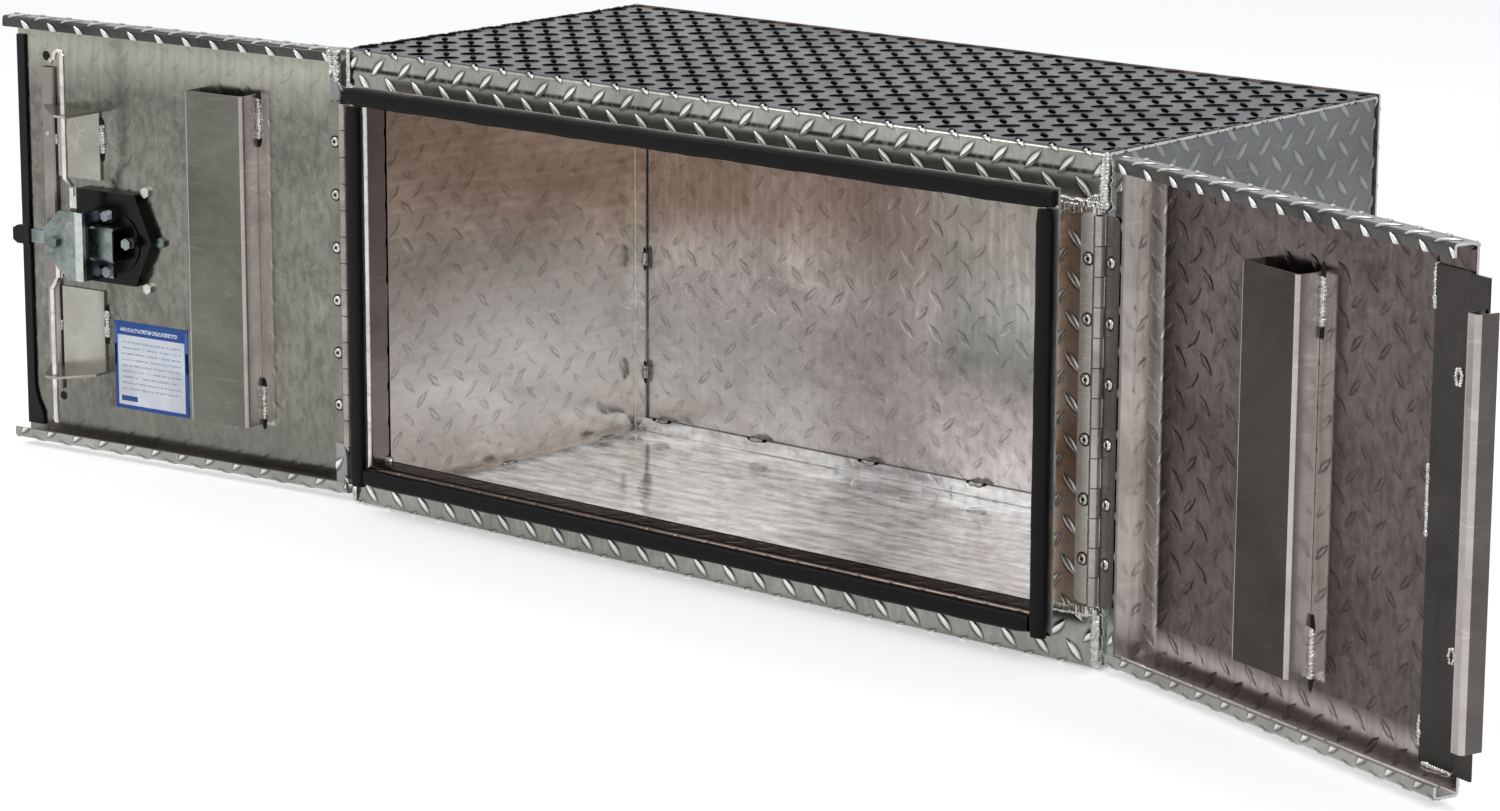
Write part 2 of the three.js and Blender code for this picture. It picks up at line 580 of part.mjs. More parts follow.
function sidePanel(side) {
  const outer = side * HALF_WIDTH;
  const edge = side * OPENING_HALF_WIDTH;
  const rear = side * (HALF_WIDTH - REAR_FLANGE);
  const shell = [[edge, FRONT_Y], [outer, FRONT_Y], [outer, SHELL_BACK_Y], [rear, SHELL_BACK_Y]];
  const path = side > 0 ? shell : shell.reverse();
  const foot = TREAD_THICK + GAP;
  const top = BODY_HEIGHT - TREAD_THICK - GAP;
  let panel = prismZ(folded(path, TREAD_THICK), foot, top);
  const behind = FRONT_Y + TREAD_THICK + BEND_RADIUS + GAP;
  const clear = HALF_WIDTH + CUT_MARGIN;
  const low = block(-clear, clear, FRONT_Y - CUT_MARGIN, behind, 0, OPENING_FOOT + GAP);
  const high = block(-clear, clear, FRONT_Y - CUT_MARGIN, behind, OPENING_TOP - GAP, BODY_HEIGHT);
  const inside = side * (HALF_WIDTH - TREAD_THICK);
  const inner = side * (HALF_WIDTH - REAR_FLANGE - CUT_MARGIN);
  const flangeGap = REAR_FLANGE + GAP;
  const lowRear = block(inside, inner, 0, BACK_Y, 0, flangeGap);
  const highRear = block(inside, inner, 0, BACK_Y, BODY_HEIGHT - flangeGap, BODY_HEIGHT);
  panel = cutBy(panel, low, high, lowRear, highRear);
  const footEnd = SHELL_BACK_Y - TREAD_THICK - BEND_RADIUS - GAP;
  const footFlange = block(side * (HALF_WIDTH - TREAD_THICK / 2), rear, behind, footEnd, foot, foot + TREAD_THICK);
  const ring = side * RETURN_OUTER;
  const lipPath = [[edge, FRONT_Y + TREAD_THICK], [edge, RETURN_Y], [ring, RETURN_Y]];
  const outline = folded(side > 0 ? lipPath : lipPath.reverse(), SHEET_THICK);
  const z0 = OPENING_FOOT - RETURN_WIDTH;
  const z1 = OPENING_TOP + RETURN_WIDTH;
  const lip = prismZ(outline, z0, z1);
  const forward = lip.subtract(block(-BODY_WIDTH, BODY_WIDTH, FRONT_Y, BACK_Y, 0, BODY_HEIGHT));
  const trimmed = cutBy(forward, ringCut(false, [side, 1]), ringCut(false, [side, -1]));
  const root = lip.intersect(
    block(-clear, clear, FRONT_Y - GAP, FRONT_Y + TREAD_THICK, OPENING_FOOT + GAP, OPENING_TOP - GAP),
  );
  return joined(panel, footFlange, trimmed, root);
}

meshOf('roof_panel', levelPanel(1), looks.tread);
meshOf('floor_panel', levelPanel(-1), looks.tread);
meshOf('left_side_panel', sidePanel(LEFT), looks.tread);
meshOf('right_side_panel', sidePanel(RIGHT), looks.tread);
const back = block(-HALF_WIDTH, HALF_WIDTH, BACK_Y - TREAD_THICK, BACK_Y, 0, BODY_HEIGHT);
meshOf('back_panel', back, looks.tread);

// Sponge seal in four runs on the face of the return.
const SEAL_BACK_Y = RETURN_Y - GAP;
const SEAL_FRONT_Y = SEAL_BACK_Y - SEAL_THICK;

function levelSeal(z0, halfLength) {
  const outline = roundedRect(SEAL_FRONT_Y, SEAL_BACK_Y, z0, z0 + SEAL_WIDTH, SEAL_ROUND);
  return prismX(outline, -halfLength, halfLength);
}

function uprightSeal(side, z0, z1) {
  const inner = OPENING_HALF_WIDTH + SEAL_INSET;
  const ends = [side * inner, side * (inner + SEAL_WIDTH)];
  const outline = roundedRect(Math.min(...ends), Math.max(...ends), SEAL_FRONT_Y, SEAL_BACK_Y, SEAL_ROUND);
  return prismZ(outline, z0, z1);
}

const SEAL_INNER = OPENING_HALF_WIDTH + SEAL_INSET;
const SEAL_TOP_FOOT = OPENING_TOP + SEAL_INSET;
meshOf('seal_top', levelSeal(SEAL_TOP_FOOT, RETURN_OUTER), looks.rubber);
meshOf('seal_bottom', levelSeal(OPENING_FOOT - RETURN_WIDTH, SEAL_INNER - GAP), looks.rubber);
meshOf('seal_left', uprightSeal(LEFT, SEAL_SIDE_FOOT, SEAL_TOP_FOOT - GAP), looks.rubber);
meshOf('seal_right', uprightSeal(RIGHT, SEAL_SIDE_FOOT, SEAL_TOP_FOOT - GAP), looks.rubber);

// Piano hinge: leaves with alternating knuckles and rivet heads, and a pin.
function hingeLeaf(side, onDoor) {
  const facing = onDoor ? -1 : 1;
  const seat = AXIS_Y + facing * KNUCKLE_RADIUS;
  const face = seat - facing * LEAF_THICK;
  const x = (u) => side * (AXIS_X - u);
  const near = KNUCKLE_RADIUS + LEAF_NOTCH;
  const cut = LEAF_CORNER * (1 - Math.SQRT1_2);
  const plate = [
    [x(near), HINGE_FOOT],
    [x(LEAF_WIDTH - LEAF_CORNER), HINGE_FOOT],
    [x(LEAF_WIDTH - cut), HINGE_FOOT + cut],
    [x(LEAF_WIDTH), HINGE_FOOT + LEAF_CORNER],
    [x(LEAF_WIDTH), HINGE_TOP - LEAF_CORNER],
    [x(LEAF_WIDTH - cut), HINGE_TOP - cut],
    [x(LEAF_WIDTH - LEAF_CORNER), HINGE_TOP],
    [x(near), HINGE_TOP],
  ];
  let leaf = prismY(plate, seat, face);
  for (let i = onDoor ? 1 : 0; i < KNUCKLE_COUNT; i += 2) {
    const z0 = HINGE_FOOT + KNUCKLE_PITCH * i + GAP / 2;
    const z1 = z0 + KNUCKLE_PITCH - GAP;
    const barrel = prismZ(circle(x(0), AXIS_Y, KNUCKLE_RADIUS, ROUND_SIDES), z0, z1);
    const web = block(x(0), x(near + LEAF_NOTCH), seat, face, z0, z1);
    leaf = joined(leaf, barrel, web);
  }
  const bore = circle(x(0), AXIS_Y, PIN_RADIUS + BORE_CLEARANCE, ROUND_SIDES);
  leaf = leaf.subtract(prismZ(bore, 0, BODY_HEIGHT));
  for (let i = 0; i < RIVET_COUNT; i += 1) {
    const z = HINGE_MIDDLE + RIVET_PITCH * (i - (RIVET_COUNT - 1) / 2);
    const root = [x(RIVET_OFFSET), face + facing * GAP, z];
    const tip = [x(RIVET_OFFSET), face - facing * RIVET_HEIGHT, z];
    leaf = leaf.add(roundBar(root, tip, RIVET_RADIUS, SMALL_ROUND_SIDES, RIVET_TOP_RADIUS));
  }
  return leaf;
}

for (const side of [LEFT, RIGHT]) {
  const word = side === LEFT ? 'left' : 'right';
  meshOf(`${word}_hinge_box_leaf`, hingeLeaf(side, false), looks.steel);
  meshOf(`${word}_hinge_door_leaf`, hingeLeaf(side, true), looks.steel, placed[side]);
  const pin = prismZ(circle(side * AXIS_X, AXIS_Y, PIN_RADIUS, ROUND_SIDES), HINGE_FOOT, HINGE_TOP);
  meshOf(`${word}_hinge_pin`, pin, looks.steel);
}

// Door positions: s from the box's side along the door, level from the plane of its lips.
function doorX(side, s) {
  return side * (HALF_WIDTH - s);
}

function level(value) {
  return DOOR_LIP_Y + value;
}

function doorBlock(side, s0, s1, level0, level1, z0, z1) {
  return block(doorX(side, s0), doorX(side, s1), level(level0), level(level1), z0, z1);
}

function doorPlate(side, points, level0, level1) {
  return prismY(points.map(([s, z]) => [doorX(side, s), z]), level(level0), level(level1));
}

function doorBar(side, s, z, level0, level1, radius, sides, endRadius = radius) {
  const x = doorX(side, s);
  return roundBar([x, level(level0), z], [x, level(level1), z], radius, sides, endRadius);
}

function doorPan(side) {
  const free = DOOR_FREE_GAP * side;
  const hingeX = doorX(side, DOOR_HINGE_EDGE);
  const rim = [
    [DOOR_LIP_Y, DOOR_FOOT + DOOR_LIP_HEIGHT],
    [DOOR_LIP_Y, DOOR_FOOT],
    [DOOR_OUTER_Y, DOOR_FOOT],
    [DOOR_OUTER_Y, DOOR_TOP],
    [DOOR_LIP_Y, DOOR_TOP],
    [DOOR_LIP_Y, DOOR_TOP - DOOR_LIP_HEIGHT],
  ];
  const tray = prismX(folded(rim.reverse(), TREAD_THICK), free, hingeX);
  const edge = [
    [hingeX - side * DOOR_LIP_WIDTH, DOOR_LIP_Y],
    [hingeX, DOOR_LIP_Y],
    [hingeX, DOOR_OUTER_Y],
    [hingeX - side * DOOR_LIP_WIDTH, DOOR_OUTER_Y],
  ];
  const path = side > 0 ? edge.reverse() : edge;
  const flange = prismZ(folded(path, TREAD_THICK), DOOR_FOOT, DOOR_TOP);
  return joined(tray, flange);
}

function stiffener(side, start) {
  const x0 = doorX(side, start);
  const x1 = doorX(side, start + STIFFENER_WIDTH);
  const seat = SKIN_Y + GAP;
  const web = DOOR_LIP_Y - STIFFENER_INSET;
  const low = Math.min(x0, x1);
  const high = Math.max(x0, x1);
  const path = [[high, seat], [high, web], [low, web], [low, seat]];
  return prismZ(folded(path, SHEET_THICK), STIFFENER_FOOT, STIFFENER_TOP);
}

// Right door with its stiffener, overlap plate and strike.
meshOf('right_door_pan', doorPan(RIGHT), looks.tread, placed[RIGHT]);
meshOf('right_door_stiffener', stiffener(RIGHT, RIGHT_STIFFENER_S), looks.plain, placed[RIGHT]);

function overlapPlate() {
  const y = (rise) => SKIN_Y + GAP + rise;
  const outline = [
    [doorX(RIGHT, PLATE_START_S), y(0)],
    [doorX(RIGHT, PLATE_START_S), y(SHEET_THICK)],
    [doorX(RIGHT, PLATE_JOGGLE_S), y(SHEET_THICK)],
    [doorX(RIGHT, PLATE_JOGGLE_END_S), y(SHEET_THICK + PLATE_JOGGLE)],
    [doorX(RIGHT, PLATE_END_S), y(SHEET_THICK + PLATE_JOGGLE)],
    [doorX(RIGHT, PLATE_END_S), y(PLATE_JOGGLE)],
    [doorX(RIGHT, PLATE_JOGGLE_END_S), y(PLATE_JOGGLE)],
    [doorX(RIGHT, PLATE_JOGGLE_S), y(0)],
  ];
  return prismZ(outline, PLATE_FOOT, PLATE_TOP);
}

function strikeChannel() {
  const rear = level(STRIKE_LEVEL);
  const seat = SKIN_Y + GAP + SHEET_THICK + PLATE_JOGGLE + GAP;
  const plateLeg = doorX(RIGHT, STRIKE_START_S);
  const freeLeg = doorX(RIGHT, STRIKE_START_S + STRIKE_WIDTH);
  const path = [[plateLeg, seat], [plateLeg, rear], [freeLeg, rear], [freeLeg, rear - STRIKE_LONG_LEG]];
  return prismZ(folded(path, SHEET_THICK), STRIKE_FOOT, STRIKE_TOP);
}

meshOf('overlap_plate', overlapPlate(), looks.plain, placed[RIGHT]);
meshOf('strike_channel', strikeChannel(), looks.plain, placed[RIGHT]);

// Left door with its trim. The tray passes through a hole in the skin.
function pentagon(grow) {
  const slope = grow / 2;
  return [
    [TRAY_POINT_S - grow - slope, (TRAY_FOOT + TRAY_TOP) / 2],
    [TRAY_SHOULDER_S - grow, TRAY_FOOT - grow],
    [TRAY_FREE_S + grow, TRAY_FOOT - grow],
    [TRAY_FREE_S + grow, TRAY_TOP + grow],
    [TRAY_SHOULDER_S - grow, TRAY_TOP + grow],
  ];
}

const PANEL_OUTSIDE = SKIN_LEVEL - TREAD_THICK;
const skinHole = doorPlate(LEFT, pentagon(GAP), PANEL_OUTSIDE - CUT_MARGIN, SKIN_LEVEL + TREAD_THICK);

const trayBolts = [
  [TRAY_SHOULDER_S - TRAY_BOLT_INSET, TRAY_TOP + TRAY_BOLT_OUT],
  [TRAY_SHOULDER_S - TRAY_BOLT_INSET, TRAY_FOOT - TRAY_BOLT_OUT],
  [TRAY_POINT_S - TRAY_BOLT_POINT_INSET, (TRAY_FOOT + TRAY_TOP) / 2],
];

function boltHole([s, z]) {
  const outside = PANEL_OUTSIDE - CUT_MARGIN;
  return doorBar(LEFT, s, z, outside, TRAY_LEVEL + CUT_MARGIN, BOLT_RADIUS + GAP, SMALL_ROUND_SIDES);
}

const leftPan = cutBy(doorPan(LEFT), skinHole, ...trayBolts.map(boltHole));
meshOf('left_door_pan', leftPan, looks.tread, placed[LEFT]);
meshOf('left_door_stiffener', stiffener(LEFT, LEFT_STIFFENER_S), looks.plain, placed[LEFT]);

const TRIM_SEAT = SKIN_LEVEL + GAP;

function edgeRubber() {
  const outline = [
    [RUBBER_START_S - RUBBER_FLARE, RUBBER_FOOT],
    [RUBBER_END_S, RUBBER_FOOT],
    [RUBBER_END_S, RUBBER_TOP],
    [RUBBER_START_S, RUBBER_TOP],
    [RUBBER_START_S, RUBBER_FLARE_TOP],
  ];
  return doorPlate(LEFT, outline, TRIM_SEAT, TRIM_SEAT + RUBBER_THICK);
}

function edgeStrip() {
  const x0 = doorX(LEFT, STRIP_START_S);
  const x1 = doorX(LEFT, STRIP_END_S);
  const seat = level(TRIM_SEAT);
  const path = [[x1, seat], [x1, seat + STRIP_HEIGHT], [x0, seat + STRIP_HEIGHT], [x0, seat]];
  return prismZ(folded(path, STRIP_HEIGHT / 2), STRIP_FOOT, STRIP_TOP);
}

meshOf('left_edge_rubber', edgeRubber(), looks.rubber, placed[LEFT]);
meshOf('left_edge_strip', edgeStrip(), looks.plain, placed[LEFT]);
const cardSeat = SKIN_LEVEL + CARD_GAP;
const card = doorBlock(LEFT, CARD_START_S, CARD_END_S, cardSeat, cardSeat + CARD_THICK, CARD_FOOT, CARD_TOP);
meshOf('blank_card', card, looks.card, placed[LEFT]);

// Latch tray: bezel outside, dish through the skin, slot for the paddle's finger.
const BEZEL_LEVEL = PANEL_OUTSIDE - GAP - BEZEL_THICK;
const bracketFeet = [
  [BRACKET_START_S - BRACKET_BOLT_INSET, BRACKET_TOP - BRACKET_BOLT_RISE],
  [BRACKET_START_S - BRACKET_BOLT_INSET, BRACKET_FOOT + BRACKET_BOLT_RISE],
];

function latchTray() {
  const bezel = doorPlate(LEFT, pentagon(BEZEL_MARGIN), BEZEL_LEVEL, BEZEL_LEVEL + BEZEL_THICK);
  const dish = doorPlate(LEFT, pentagon(0), BEZEL_LEVEL, TRAY_LEVEL);
  const hollow = doorPlate(LEFT, pentagon(-TRAY_WALL), BEZEL_LEVEL - CUT_MARGIN, TRAY_LEVEL - TRAY_WALL);
  const ringTop = TRAY_LEVEL + TRAY_RING_HEIGHT;
  const ring = doorBar(LEFT, TRAY_RING_S, LATCH_Z, TRAY_LEVEL - GAP, ringTop, TRAY_RING_RADIUS, 2 * ROUND_SIDES);
  const ringBore = doorBar(
    LEFT, TRAY_RING_S, LATCH_Z, TRAY_LEVEL, ringTop + GAP, TRAY_RING_RADIUS - TRAY_RING_WIDTH, 2 * ROUND_SIDES,
  );
  const half = FINGER_SLOT_HEIGHT / 2;
  const slot = doorBlock(
    LEFT, FINGER_SLOT_START_S, FINGER_SLOT_END_S,
    TRAY_LEVEL - TRAY_WALL - GAP, ringTop + GAP, LEVER_Z - half, LEVER_Z + half,
  );
  const clear = BRACKET_START_S - BRACKET_TOE_LENGTH - 2 * GAP - SHEET_THICK;
  const seat = doorBlock(
    LEFT, clear, TRAY_FREE_S, TRAY_LEVEL, ringTop + GAP, TRAY_FOOT, TRAY_TOP,
  );
  const rim = cutBy(ring, ringBore, seat);
  const lugs = [-1, 1].map((end) => {
    const z0 = LATCH_Z + end * (PADDLE_HEIGHT / 2 + GAP);
    const z1 = z0 + end * PADDLE_LUG_HEIGHT;
    const s0 = PADDLE_AXIS_S - PADDLE_LUG_WIDTH / 2;
    const s1 = PADDLE_AXIS_S + PADDLE_LUG_WIDTH / 2;
    const foot = PADDLE_AXIS_LEVEL - PADDLE_BARREL_RADIUS;
    return doorBlock(LEFT, s0, s1, foot, TRAY_LEVEL - TRAY_WALL / 2, z0, z1);
  });
  const reach = PADDLE_HEIGHT / 2 + PADDLE_PIN_OVERRUN;
  const pinX = doorX(LEFT, PADDLE_AXIS_S);
  const pinY = level(PADDLE_AXIS_LEVEL);
  const boreRadius = PADDLE_PIN_RADIUS + BORE_CLEARANCE;
  const bore = prismZ(circle(pinX, pinY, boreRadius, ROUND_SIDES), LATCH_Z - reach, LATCH_Z + reach);
  const holes = [...trayBolts, ...bracketFeet].map(boltHole);
  const stop = boltHole([STOP_BOLT_S, STOP_BOLT_Z]);
  const shell = joined(bezel, dish).subtract(hollow);
  return cutBy(joined(shell, rim, ...lugs), slot, bore, ...holes, stop);
}

meshOf('latch_tray', latchTray(), looks.black, placed[LEFT]);

// Paddle with its barrel and finger, the pin it turns on and the lock in it.
const PADDLE_FOOT = LATCH_Z - PADDLE_HEIGHT / 2;
const PADDLE_TOP = LATCH_Z + PADDLE_HEIGHT / 2;

function paddleHandle() {
  const x = doorX(LEFT, PADDLE_AXIS_S);
  const y = level(PADDLE_AXIS_LEVEL);
  const outer = PADDLE_LEVEL - PADDLE_THICK / 2;
  const plate = doorBlock(
    LEFT, PADDLE_END_S, PADDLE_BACK_S, outer, outer + PADDLE_THICK, PADDLE_FOOT, PADDLE_TOP,
  );
  const barrel = prismZ(circle(x, y, PADDLE_BARREL_RADIUS, ROUND_SIDES), PADDLE_FOOT, PADDLE_TOP);
  const bore = prismZ(
    circle(x, y, PADDLE_PIN_RADIUS + BORE_CLEARANCE, ROUND_SIDES), PADDLE_FOOT - GAP, PADDLE_TOP + GAP,
  );
  const finger = doorBlock(
    LEFT, FINGER_S - FINGER_THICK / 2, FINGER_S + FINGER_THICK / 2,
    PADDLE_LEVEL, FINGER_LEVEL, LEVER_Z - FINGER_HEIGHT / 2, LEVER_Z + FINGER_HEIGHT / 2,
  );
  const lockHole = doorBar(
    LEFT, LOCK_S, LOCK_Z, outer - CUT_MARGIN, outer + CUT_MARGIN, LOCK_RADIUS + GAP, ROUND_SIDES,
  );
  return cutBy(joined(plate, barrel, finger), bore, lockHole);
}

const LOCK_OUTER = PADDLE_LEVEL - PADDLE_THICK / 2 - LOCK_FACE;
const LOCK_INNER = PADDLE_LEVEL + PADDLE_THICK / 2 + LOCK_TAIL;
const PLUG_HOLE = PLUG_RADIUS + BORE_CLEARANCE;

function lockCylinder() {
  const body = doorBar(LEFT, LOCK_S, LOCK_Z, LOCK_OUTER, LOCK_INNER, LOCK_RADIUS, ROUND_SIDES);
  const hole = doorBar(
    LEFT, LOCK_S, LOCK_Z, LOCK_OUTER - CUT_MARGIN, LOCK_INNER - SHEET_THICK / 2, PLUG_HOLE, ROUND_SIDES,
  );
  return body.subtract(hole);
}

function keyPlug() {
  const end = LOCK_INNER - SHEET_THICK / 2 - GAP;
  const body = doorBar(LEFT, LOCK_S, LOCK_Z, LOCK_OUTER, end, PLUG_RADIUS, ROUND_SIDES);
  const keyway = doorBlock(
    LEFT, LOCK_S - KEYWAY_WIDTH / 2, LOCK_S + KEYWAY_WIDTH / 2, LOCK_OUTER - CUT_MARGIN,
    LOCK_OUTER + KEYWAY_DEPTH, LOCK_Z - KEYWAY_HEIGHT / 2, LOCK_Z + KEYWAY_HEIGHT / 2,
  );
  return body.subtract(keyway);
}

meshOf('paddle_handle', paddleHandle(), looks.black, placed[LEFT]);
const pinReach = PADDLE_HEIGHT / 2 + PADDLE_LUG_HEIGHT;
const paddlePin = prismZ(
  circle(doorX(LEFT, PADDLE_AXIS_S), level(PADDLE_AXIS_LEVEL), PADDLE_PIN_RADIUS, ROUND_SIDES),
  LATCH_Z - pinReach, LATCH_Z + pinReach,
);
meshOf('paddle_pin', paddlePin, looks.steel, placed[LEFT]);
meshOf('lock_cylinder', lockCylinder(), looks.steel, placed[LEFT]);
meshOf('key_plug', keyPlug(), looks.steel, placed[LEFT]);

// Lever under the bracket: a channel over the slot, with a neck that reaches the cam.
function driveLever() {
  const top = LEVER_Z + LEVER_HEIGHT / 2;
  const foot = LEVER_Z - LEVER_HEIGHT / 2;
  const face = level(LEVER_LEVEL + SHEET_THICK);
  const seat = level(TRAY_LEVEL + GAP);
  const path = [[seat, top], [face, top], [face, foot], [seat, foot]];
  const channel = prismX(
    folded(path.reverse(), SHEET_THICK), doorX(LEFT, LEVER_START_S), doorX(LEFT, LEVER_END_S),
  );
  const half = LEVER_NECK_HEIGHT / 2;
  const neck = doorBlock(
    LEFT, LEVER_END_S - SHEET_THICK, LEVER_NECK_S, LEVER_LEVEL, LEVER_LEVEL + SHEET_THICK,
    LATCH_Z - half, LATCH_Z + half,
  );
  const ring = TRAY_LEVEL + TRAY_RING_HEIGHT + GAP;
  const clear = doorBlock(
    LEFT, LEVER_START_S - GAP, LEVER_END_S + GAP, TRAY_LEVEL, ring, foot - GAP, top + GAP,
  );
  return joined(channel.subtract(clear), neck);
}

meshOf('drive_lever', driveLever(), looks.zinc, placed[LEFT]);

function latchBracket() {
  const face = [
    [BRACKET_START_S, BRACKET_FOOT],
    [BRACKET_SLOPE_S, BRACKET_FOOT],
    [BRACKET_NOSE_S, BRACKET_NOSE_FOOT],
    [BRACKET_NOSE_S, BRACKET_NOSE_TOP],
    [BRACKET_SHOULDER_S, BRACKET_TOP],
    [BRACKET_START_S, BRACKET_TOP],
  ];
  const plate = doorPlate(LEFT, face, BRACKET_LEVEL, BRACKET_LEVEL + SHEET_THICK);
  const seat = TRAY_LEVEL + GAP;
  const wall = doorBlock(
    LEFT, BRACKET_START_S - SHEET_THICK, BRACKET_START_S + GAP, seat, BRACKET_LEVEL + SHEET_THICK,
    BRACKET_FOOT, BRACKET_TOP,
  );
  const window = doorBlock(
    LEFT, BRACKET_START_S - CUT_MARGIN, BRACKET_START_S + CUT_MARGIN / 2, seat - GAP, BRACKET_WINDOW_LEVEL,
    LEVER_Z - LEVER_HEIGHT / 2 - SHEET_THICK, BRACKET_WINDOW_TOP,
  );
  const toeEnd = BRACKET_START_S - BRACKET_TOE_LENGTH;
  const toes = doorBlock(
    LEFT, toeEnd, BRACKET_START_S, seat, seat + SHEET_THICK, BRACKET_FOOT, BRACKET_TOP,
  );
  const feet = bracketFeet.map(boltHole);
  const low = doorBlock(
    LEFT, toeEnd - GAP, BRACKET_START_S, seat - GAP, seat + SHEET_THICK + GAP,
    LEVER_Z - LEVER_HEIGHT / 2 - SHEET_THICK, BRACKET_WINDOW_TOP,
  );
  const pivot = doorBar(
    LEFT, PIVOT_S, LATCH_Z, BRACKET_LEVEL - GAP, BRACKET_LEVEL + CUT_MARGIN, BOLT_RADIUS + GAP, ROUND_SIDES,
  );
  return cutBy(joined(plate, wall.subtract(window), toes.subtract(low)), pivot, ...feet);
}

meshOf('latch_bracket', latchBracket(), looks.zinc, placed[LEFT]);

// Cam: a hub on the pivot bolt, a tongue with a rubber tip and an arm for each rod.
function arm(s, z) {
  const disc = doorBar(LEFT, s, z, CAM_LEVEL, CAM_LEVEL + CAM_THICK, ARM_RADIUS, ROUND_SIDES);
  const hub = doorBar(
    LEFT, PIVOT_S, LATCH_Z, CAM_LEVEL, CAM_LEVEL + CAM_THICK, ARM_RADIUS, ROUND_SIDES,
  );
  const along = [s - PIVOT_S, z - LATCH_Z];
  const length = Math.hypot(...along);
  const across = [(-along[1] / length) * ARM_RADIUS, (along[0] / length) * ARM_RADIUS];
  const outline = [
    [PIVOT_S + across[0], LATCH_Z + across[1]],
    [s + across[0], z + across[1]],
    [s - across[0], z - across[1]],
    [PIVOT_S - across[0], LATCH_Z - across[1]],
  ];
  return joined(disc, hub, doorPlate(LEFT, outline, CAM_LEVEL, CAM_LEVEL + CAM_THICK));
}

function latchCam() {
  const top = CAM_LEVEL + CAM_THICK;
  const hub = doorBar(LEFT, PIVOT_S, LATCH_Z, CAM_LEVEL, top, CAM_HUB_RADIUS, ROUND_SIDES);
  const tongue = doorBlock(
    LEFT, PIVOT_S, TONGUE_END_S, CAM_LEVEL, top, LATCH_Z - TONGUE_HALF_HEIGHT, LATCH_Z + TONGUE_HALF_HEIGHT,
  );
  const hole = doorBar(LEFT, PIVOT_S, LATCH_Z, CAM_LEVEL - GAP, top + GAP, BOLT_RADIUS + GAP, ROUND_SIDES);
  const arms = [arm(UPPER_ROD_S, UPPER_EYE_Z), arm(LOWER_ROD_S, LOWER_EYE_Z)];
  return joined(hub, tongue, ...arms).subtract(hole);
}

function rubberTip() {
  const outline = [
    [TIP_START_S, LATCH_Z - TIP_HALF_HEIGHT],
    [TIP_END_S - TIP_BEVEL, LATCH_Z - TIP_HALF_HEIGHT],
    [TIP_END_S, LATCH_Z - TIP_SHORT_HALF],
    [TIP_END_S, LATCH_Z + TIP_SHORT_HALF],
    [TIP_END_S - TIP_BEVEL, LATCH_Z + TIP_HALF_HEIGHT],
    [TIP_START_S, LATCH_Z + TIP_HALF_HEIGHT],
  ];
  const body = doorPlate(LEFT, outline, CAM_LEVEL - TIP_WALL, CAM_LEVEL + CAM_THICK + TIP_WALL);
  const pocket = doorBlock(
    LEFT, TIP_START_S - GAP, TONGUE_END_S + GAP, CAM_LEVEL - GAP, CAM_LEVEL + CAM_THICK + GAP,
    LATCH_Z - TONGUE_HALF_HEIGHT - GAP, LATCH_Z + TONGUE_HALF_HEIGHT + GAP,
  );
  return body.subtract(pocket);
}

function pivotBolt() {
  const headFoot = BRACKET_LEVEL + SHEET_THICK + GAP;
  const shank = doorBar(LEFT, PIVOT_S, LATCH_Z, LEVER_LEVEL, headFoot + GAP, BOLT_RADIUS, ROUND_SIDES);
  const head = doorBar(
    LEFT, PIVOT_S, LATCH_Z, headFoot, headFoot + PIVOT_HEAD_HEIGHT, PIVOT_HEAD_RADIUS, HEX_SIDES,
  );
  const collar = doorBar(
    LEFT, PIVOT_S, LATCH_Z, CAM_LEVEL + CAM_THICK + GAP, BRACKET_LEVEL - GAP, BOLT_RADIUS + LEAF_NOTCH,
    ROUND_SIDES,
  );
  const nut = doorBar(
    LEFT, PIVOT_S, LATCH_Z, LEVER_LEVEL - GAP, CAM_LEVEL - GAP, PIVOT_COLLAR_RADIUS - GAP, HEX_SIDES,
  );
  return joined(shank, head, collar, nut);
}

meshOf('latch_cam', latchCam(), looks.zinc, placed[LEFT]);
meshOf('cam_rubber_tip', rubberTip(), looks.rubber, placed[LEFT]);
meshOf('cam_pivot_bolt', pivotBolt(), looks.steel, placed[LEFT]);

// Rods: a flat strap over the cam's arm, a joggle up to the rod's level, and the rod.
function latchRod(s, eyeZ, strapEnd, joggleEnd, tip, collarZ) {
  const away = Math.sign(tip - eyeZ);
  const strapFoot = CAM_LEVEL + CAM_THICK + GAP;
  const strapTop = strapFoot + STRAP_THICK;
  const x = doorX(LEFT, s);
  const strap = doorBlock(
    LEFT, s - STRAP_HALF_WIDTH, s + STRAP_HALF_WIDTH, strapFoot, strapTop, eyeZ, strapEnd,
  );
  const eye = doorBar(LEFT, s, eyeZ, strapFoot, strapTop, STRAP_HALF_WIDTH, ROUND_SIDES);
  const low = [x, level(strapFoot + ROD_RADIUS), strapEnd];
  const high = [x, level(ROD_LEVEL), joggleEnd];
  const end = [x, level(ROD_LEVEL), tip - away * ROD_RADIUS];
  const pad = roundBar([x, low[1], strapEnd - away * CUT_MARGIN / 2], low, ROD_RADIUS, SMALL_ROUND_SIDES);
  const pieces = [
    strap, eye, pad, ball(low, ROD_RADIUS), roundBar(low, high, ROD_RADIUS, SMALL_ROUND_SIDES),
    ball(high, ROD_RADIUS), roundBar(high, end, ROD_RADIUS, SMALL_ROUND_SIDES), ball(end, ROD_RADIUS),
  ];
  if (collarZ) {
    const from = [x, level(ROD_LEVEL), collarZ];
    const to = [x, level(ROD_LEVEL), collarZ + COLLAR_LENGTH];
    pieces.push(roundBar(from, to, ROD_RADIUS + LEAF_NOTCH, SMALL_ROUND_SIDES));
  }
  return joined(...pieces);
}

